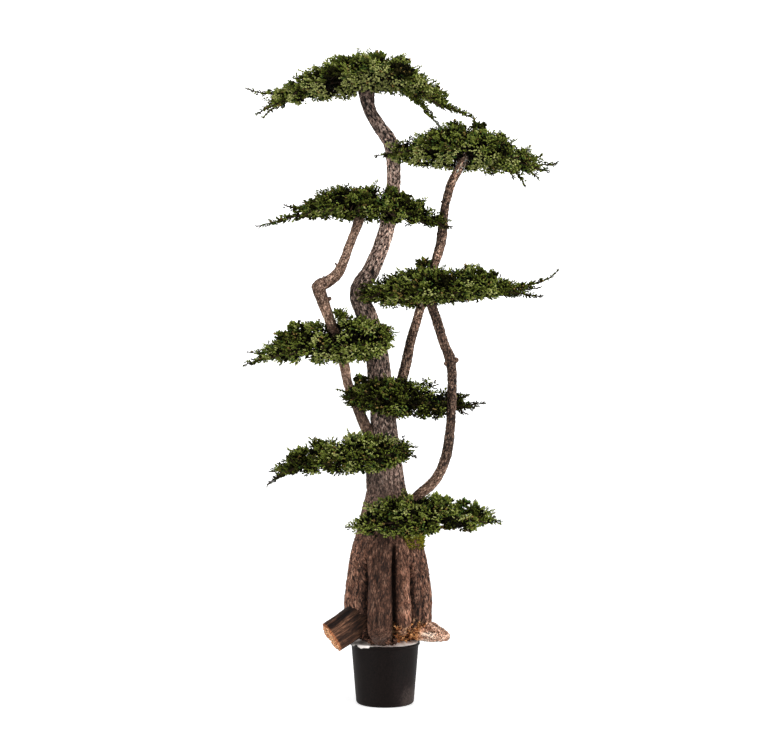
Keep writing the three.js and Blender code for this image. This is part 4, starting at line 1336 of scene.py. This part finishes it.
def make_twigs(name, pad, shoots, tails, centres, stalks):
    """The mass's wood: its stem, the main and trailing shoots, a twig to every lump and the stalks on it."""
    shell = Shell()
    stem = np.array([pad["stem"], pad_point(pad, 0.0, 0.0, 0.5)])
    add_tube(shell, [stem[0], stem.mean(axis=0) + (0, 0, 4), stem[1]], *STEM_WOOD)
    hub = pad_point(pad, 0.0, 0.0, SHOOT_LIFT)
    for lines, size in ((shoots, SHOOT_WOOD), (tails, TAIL_WOOD)):
        for line in lines:
            add_tube(shell, [hub, *line], *size)
    wood = np.vstack([Limb(tapered(np.vstack([hub, line]), 1, 1), 12).centre for line in shoots + tails])
    from_hub = np.linalg.norm(wood - hub, axis=1)
    for centre in centres:
        near = wood[np.argmin(np.linalg.norm(wood - centre, axis=1) + 0.4 * from_hub)]
        add_tube(shell, [near, (near + centre) / 2 + (0, 0, -5), centre], *TWIG_WOOD)
    for start, end in stalks:
        points, faces = spindle(start, end, STALK)
        shell.add(points, TWIG, [faces])
    shell.piece(name.replace("foliage", "twigs"), twig_bark, "foliage", [name])


def spray_template(length, radius, random):
    """One spray of unit length along X: fingers of scale leaves on both sides of a thin axis."""
    bend = random.uniform(-0.12, 0.16)
    parts = []
    for index in range(FINGERS):
        share = index / (FINGERS - 1)
        place = 0.05 + 0.55 * share
        root = np.array((place, 0, -bend * place ** 2))
        roll = math.pi / 2 * (1 if index % 2 else -1) + random.uniform(-0.75, 0.75)
        angle = math.radians(46 - 16 * share + random.uniform(-8, 8))
        reach = length * (1 - 0.45 * share) * random.uniform(0.82, 1.12)
        way = np.array((math.cos(angle), math.sin(angle) * math.sin(roll), math.sin(angle) * math.cos(roll)))
        parts.append(spindle(root, root + way * reach, radius * random.uniform(0.9, 1.15)))
    parts.append(spindle(np.array((0.35, 0, -bend * 0.2)), np.array((1, 0, -bend)), radius))
    return joined(parts)


def painted_spot_tone(pad, points):
    """Painted light on the lobes and painted shade in the hollows at the front of a mass."""
    change = np.zeros(len(points))
    front = smoothstep(pad["hub"][1] - points[:, 1], 0, 60)
    for across, level, width, height, amount in pad.get("painted_spots", ()):
        away = np.hypot((points[:, 0] - across) / width, (points[:, 2] - level) / height)
        change += amount * front * (1 - smoothstep(away, 0.6, 1.2))
    return change


def deal_colours(tones, random):
    """A leaf colour for every spray: painted shade darker below and inside, painted light where it stands
    free.
    """
    dealt = np.searchsorted(COLOUR_STEPS, tones)
    chance = random.random(len(tones))
    dealt[(chance < COOL_SHARE) & (dealt > 1)] = len(LEAVES) - 2
    dealt[(chance > 1 - OLIVE_SHARE) & (dealt > 0)] = len(LEAVES) - 1
    return dealt


def make_leaves(name, pad, sprays, templates, random):
    """The leaves of a mass: every spray is a template that is turned, sized and coloured on its own."""
    roots, ways, sizes, tones = sprays
    # Painted light and shade: the mass's own lightness and the spots on its front.
    tones = tones + np.where(tones > DARK_TONE, pad["tone"] + painted_spot_tone(pad, roots), 0)
    colours = deal_colours(tones, random)
    kind = random.integers(0, TEMPLATES, len(roots)) + np.where(colours == 0, TEMPLATES, 0)
    level = unit(np.array((0, 0, 1)) + random.normal(0, 0.45, (len(roots), 3)))
    side = unit(np.cross(level, ways))
    basis = np.stack([ways, side, np.cross(ways, side)], 1) * sizes[:, None, None]
    points, faces, slots, count = [], [], [], 0
    for index, (shape, corners) in enumerate(templates):
        chosen = kind == index
        placed = np.einsum("vk,nkd->nvd", shape, basis[chosen]) + roots[chosen][:, None]
        offsets = count + np.arange(len(placed)) * len(shape)
        points.append(placed.reshape(-1, 3))
        faces.append((corners[None] + offsets[:, None, None]).reshape(-1, 3))
        # The roots of the leaves take the darker colour as painted shade.
        lower = np.tile(SPINDLE_ROOTS, len(corners) // len(SPINDLE_ROOTS))
        colour = colours[chosen][:, None]
        slots.append(np.where(lower, LEAF_ROOTS[colour], colour).ravel())
        count += len(placed) * len(shape)
    add_piece(name.replace("foliage", "leaves"), np.concatenate(points), [np.concatenate(faces)], LEAVES,
              "foliage", [name], colours=np.concatenate(slots))


def make_foliage(name, pad, limbs, templates):
    """One mass: twigs that carry on from its limb, and leaf sprays in plain greens."""
    random = np.random.default_rng(pad["seed"])
    shoots = open_shoots(name, pad, main_shoots(pad))
    tails = open_shoots(name, pad, tail_shoots(pad))
    fringe = open_shoots(name, pad, fringe_shoots(pad, random))
    sprays = Sprays()
    centres, stalks = grow_lumps(sprays, pad, random)
    inner_sprays(sprays, pad, random)
    for lines, look in ((tails, TAIL), (fringe, FRINGE)):
        for line in lines:
            tail_sprays(sprays, line, *look, random)
    ends = (centres, stalks[:, 0], stalks[:, 1])
    free, start, end = (clear_of(points, limbs, WOOD_MARGIN) & ~hides_bough(name, points) for points in ends)
    make_twigs(name, pad, shoots, tails + fringe, centres[free], stalks[start & end])
    make_leaves(name, pad, sprays.clear(name, limbs), templates, random)


def make_studio():
    """A pale floor that runs up into a round backdrop."""
    profile = [(radius, 0) for radius in (0.5, 4, STUDIO_FLOOR)]
    profile += quarter_round(STUDIO_FLOOR, STUDIO_CURVE, 12)
    profile.append((STUDIO_FLOOR + STUDIO_CURVE, STUDIO_WALL))
    points, (walls, ends) = lathe(profile, STUDIO_SIDES)
    paint = new_material("studio_paint", (0.86, 0.86, 0.86), 0.9)
    shader = paint.node_tree.nodes["Principled BSDF"]
    shader.inputs["Emission Color"].default_value = (1, 1, 1, 1)
    shader.inputs["Emission Strength"].default_value = STUDIO_GLOW
    studio = new_object("studio", points[:-1], [walls, ends[:STUDIO_SIDES]], [paint])
    studio.visible_shadow = False
    studio.visible_diffuse = False


def add_sun(name, place, strength):
    """A wide soft light that shines from the given direction."""
    lamp = bpy.data.lights.new(name, "SUN")
    lamp.energy = strength
    lamp.angle = SUN_WIDTH
    light = bpy.data.objects.new(name, lamp)
    bpy.context.scene.collection.objects.link(light)
    across, deep, up = place
    tilt = math.atan2(math.hypot(across, deep), up)
    light.rotation_euler = (tilt, 0, math.atan2(deep, across) + math.pi / 2)


def make_stage():
    """The studio, its soft light and the photograph's camera."""
    make_studio()
    scene = bpy.context.scene
    scene.world = bpy.data.worlds.new("sky")
    scene.world.use_nodes = True
    sky = scene.world.node_tree.nodes["Background"]
    sky.inputs["Color"].default_value = (1, 1, 1, 1)
    sky.inputs["Strength"].default_value = SKY_LIGHT
    for name, (place, strength) in SUNS.items():
        add_sun(name, place, strength)
    scene.camera = bpy.data.objects.new("camera", bpy.data.cameras.new("camera"))
    scene.collection.objects.link(scene.camera)
    scene.camera.location = CAMERA_PLACE
    scene.camera.rotation_euler = (math.pi / 2, 0, 0)
    scene.camera.data.sensor_width = CAMERA_SENSOR
    scene.camera.data.lens = CAMERA_LENS
    scene.view_settings.view_transform = "Standard"


def main():
    trunk = make_trunk()
    limbs = [(trunk.centre, trunk.radius + flare_at(trunk.centre[:, 2]))]
    others = [make_bough(name, look) for name, look in BOUGHS.items()]
    others += [make_root_left(), make_root_right()]
    limbs += [(limb.centre, limb.radius) for limb in others]
    make_pot()
    make_plaster()
    make_moss(trunk)
    random = np.random.default_rng(2)
    templates = [spray_template(*kind, random) for kind in (LEAFY, COARSE) for _ in range(TEMPLATES)]
    for name, pad in PADS.items():
        make_foliage(name, pad, limbs, templates)
    make_stage()


main()
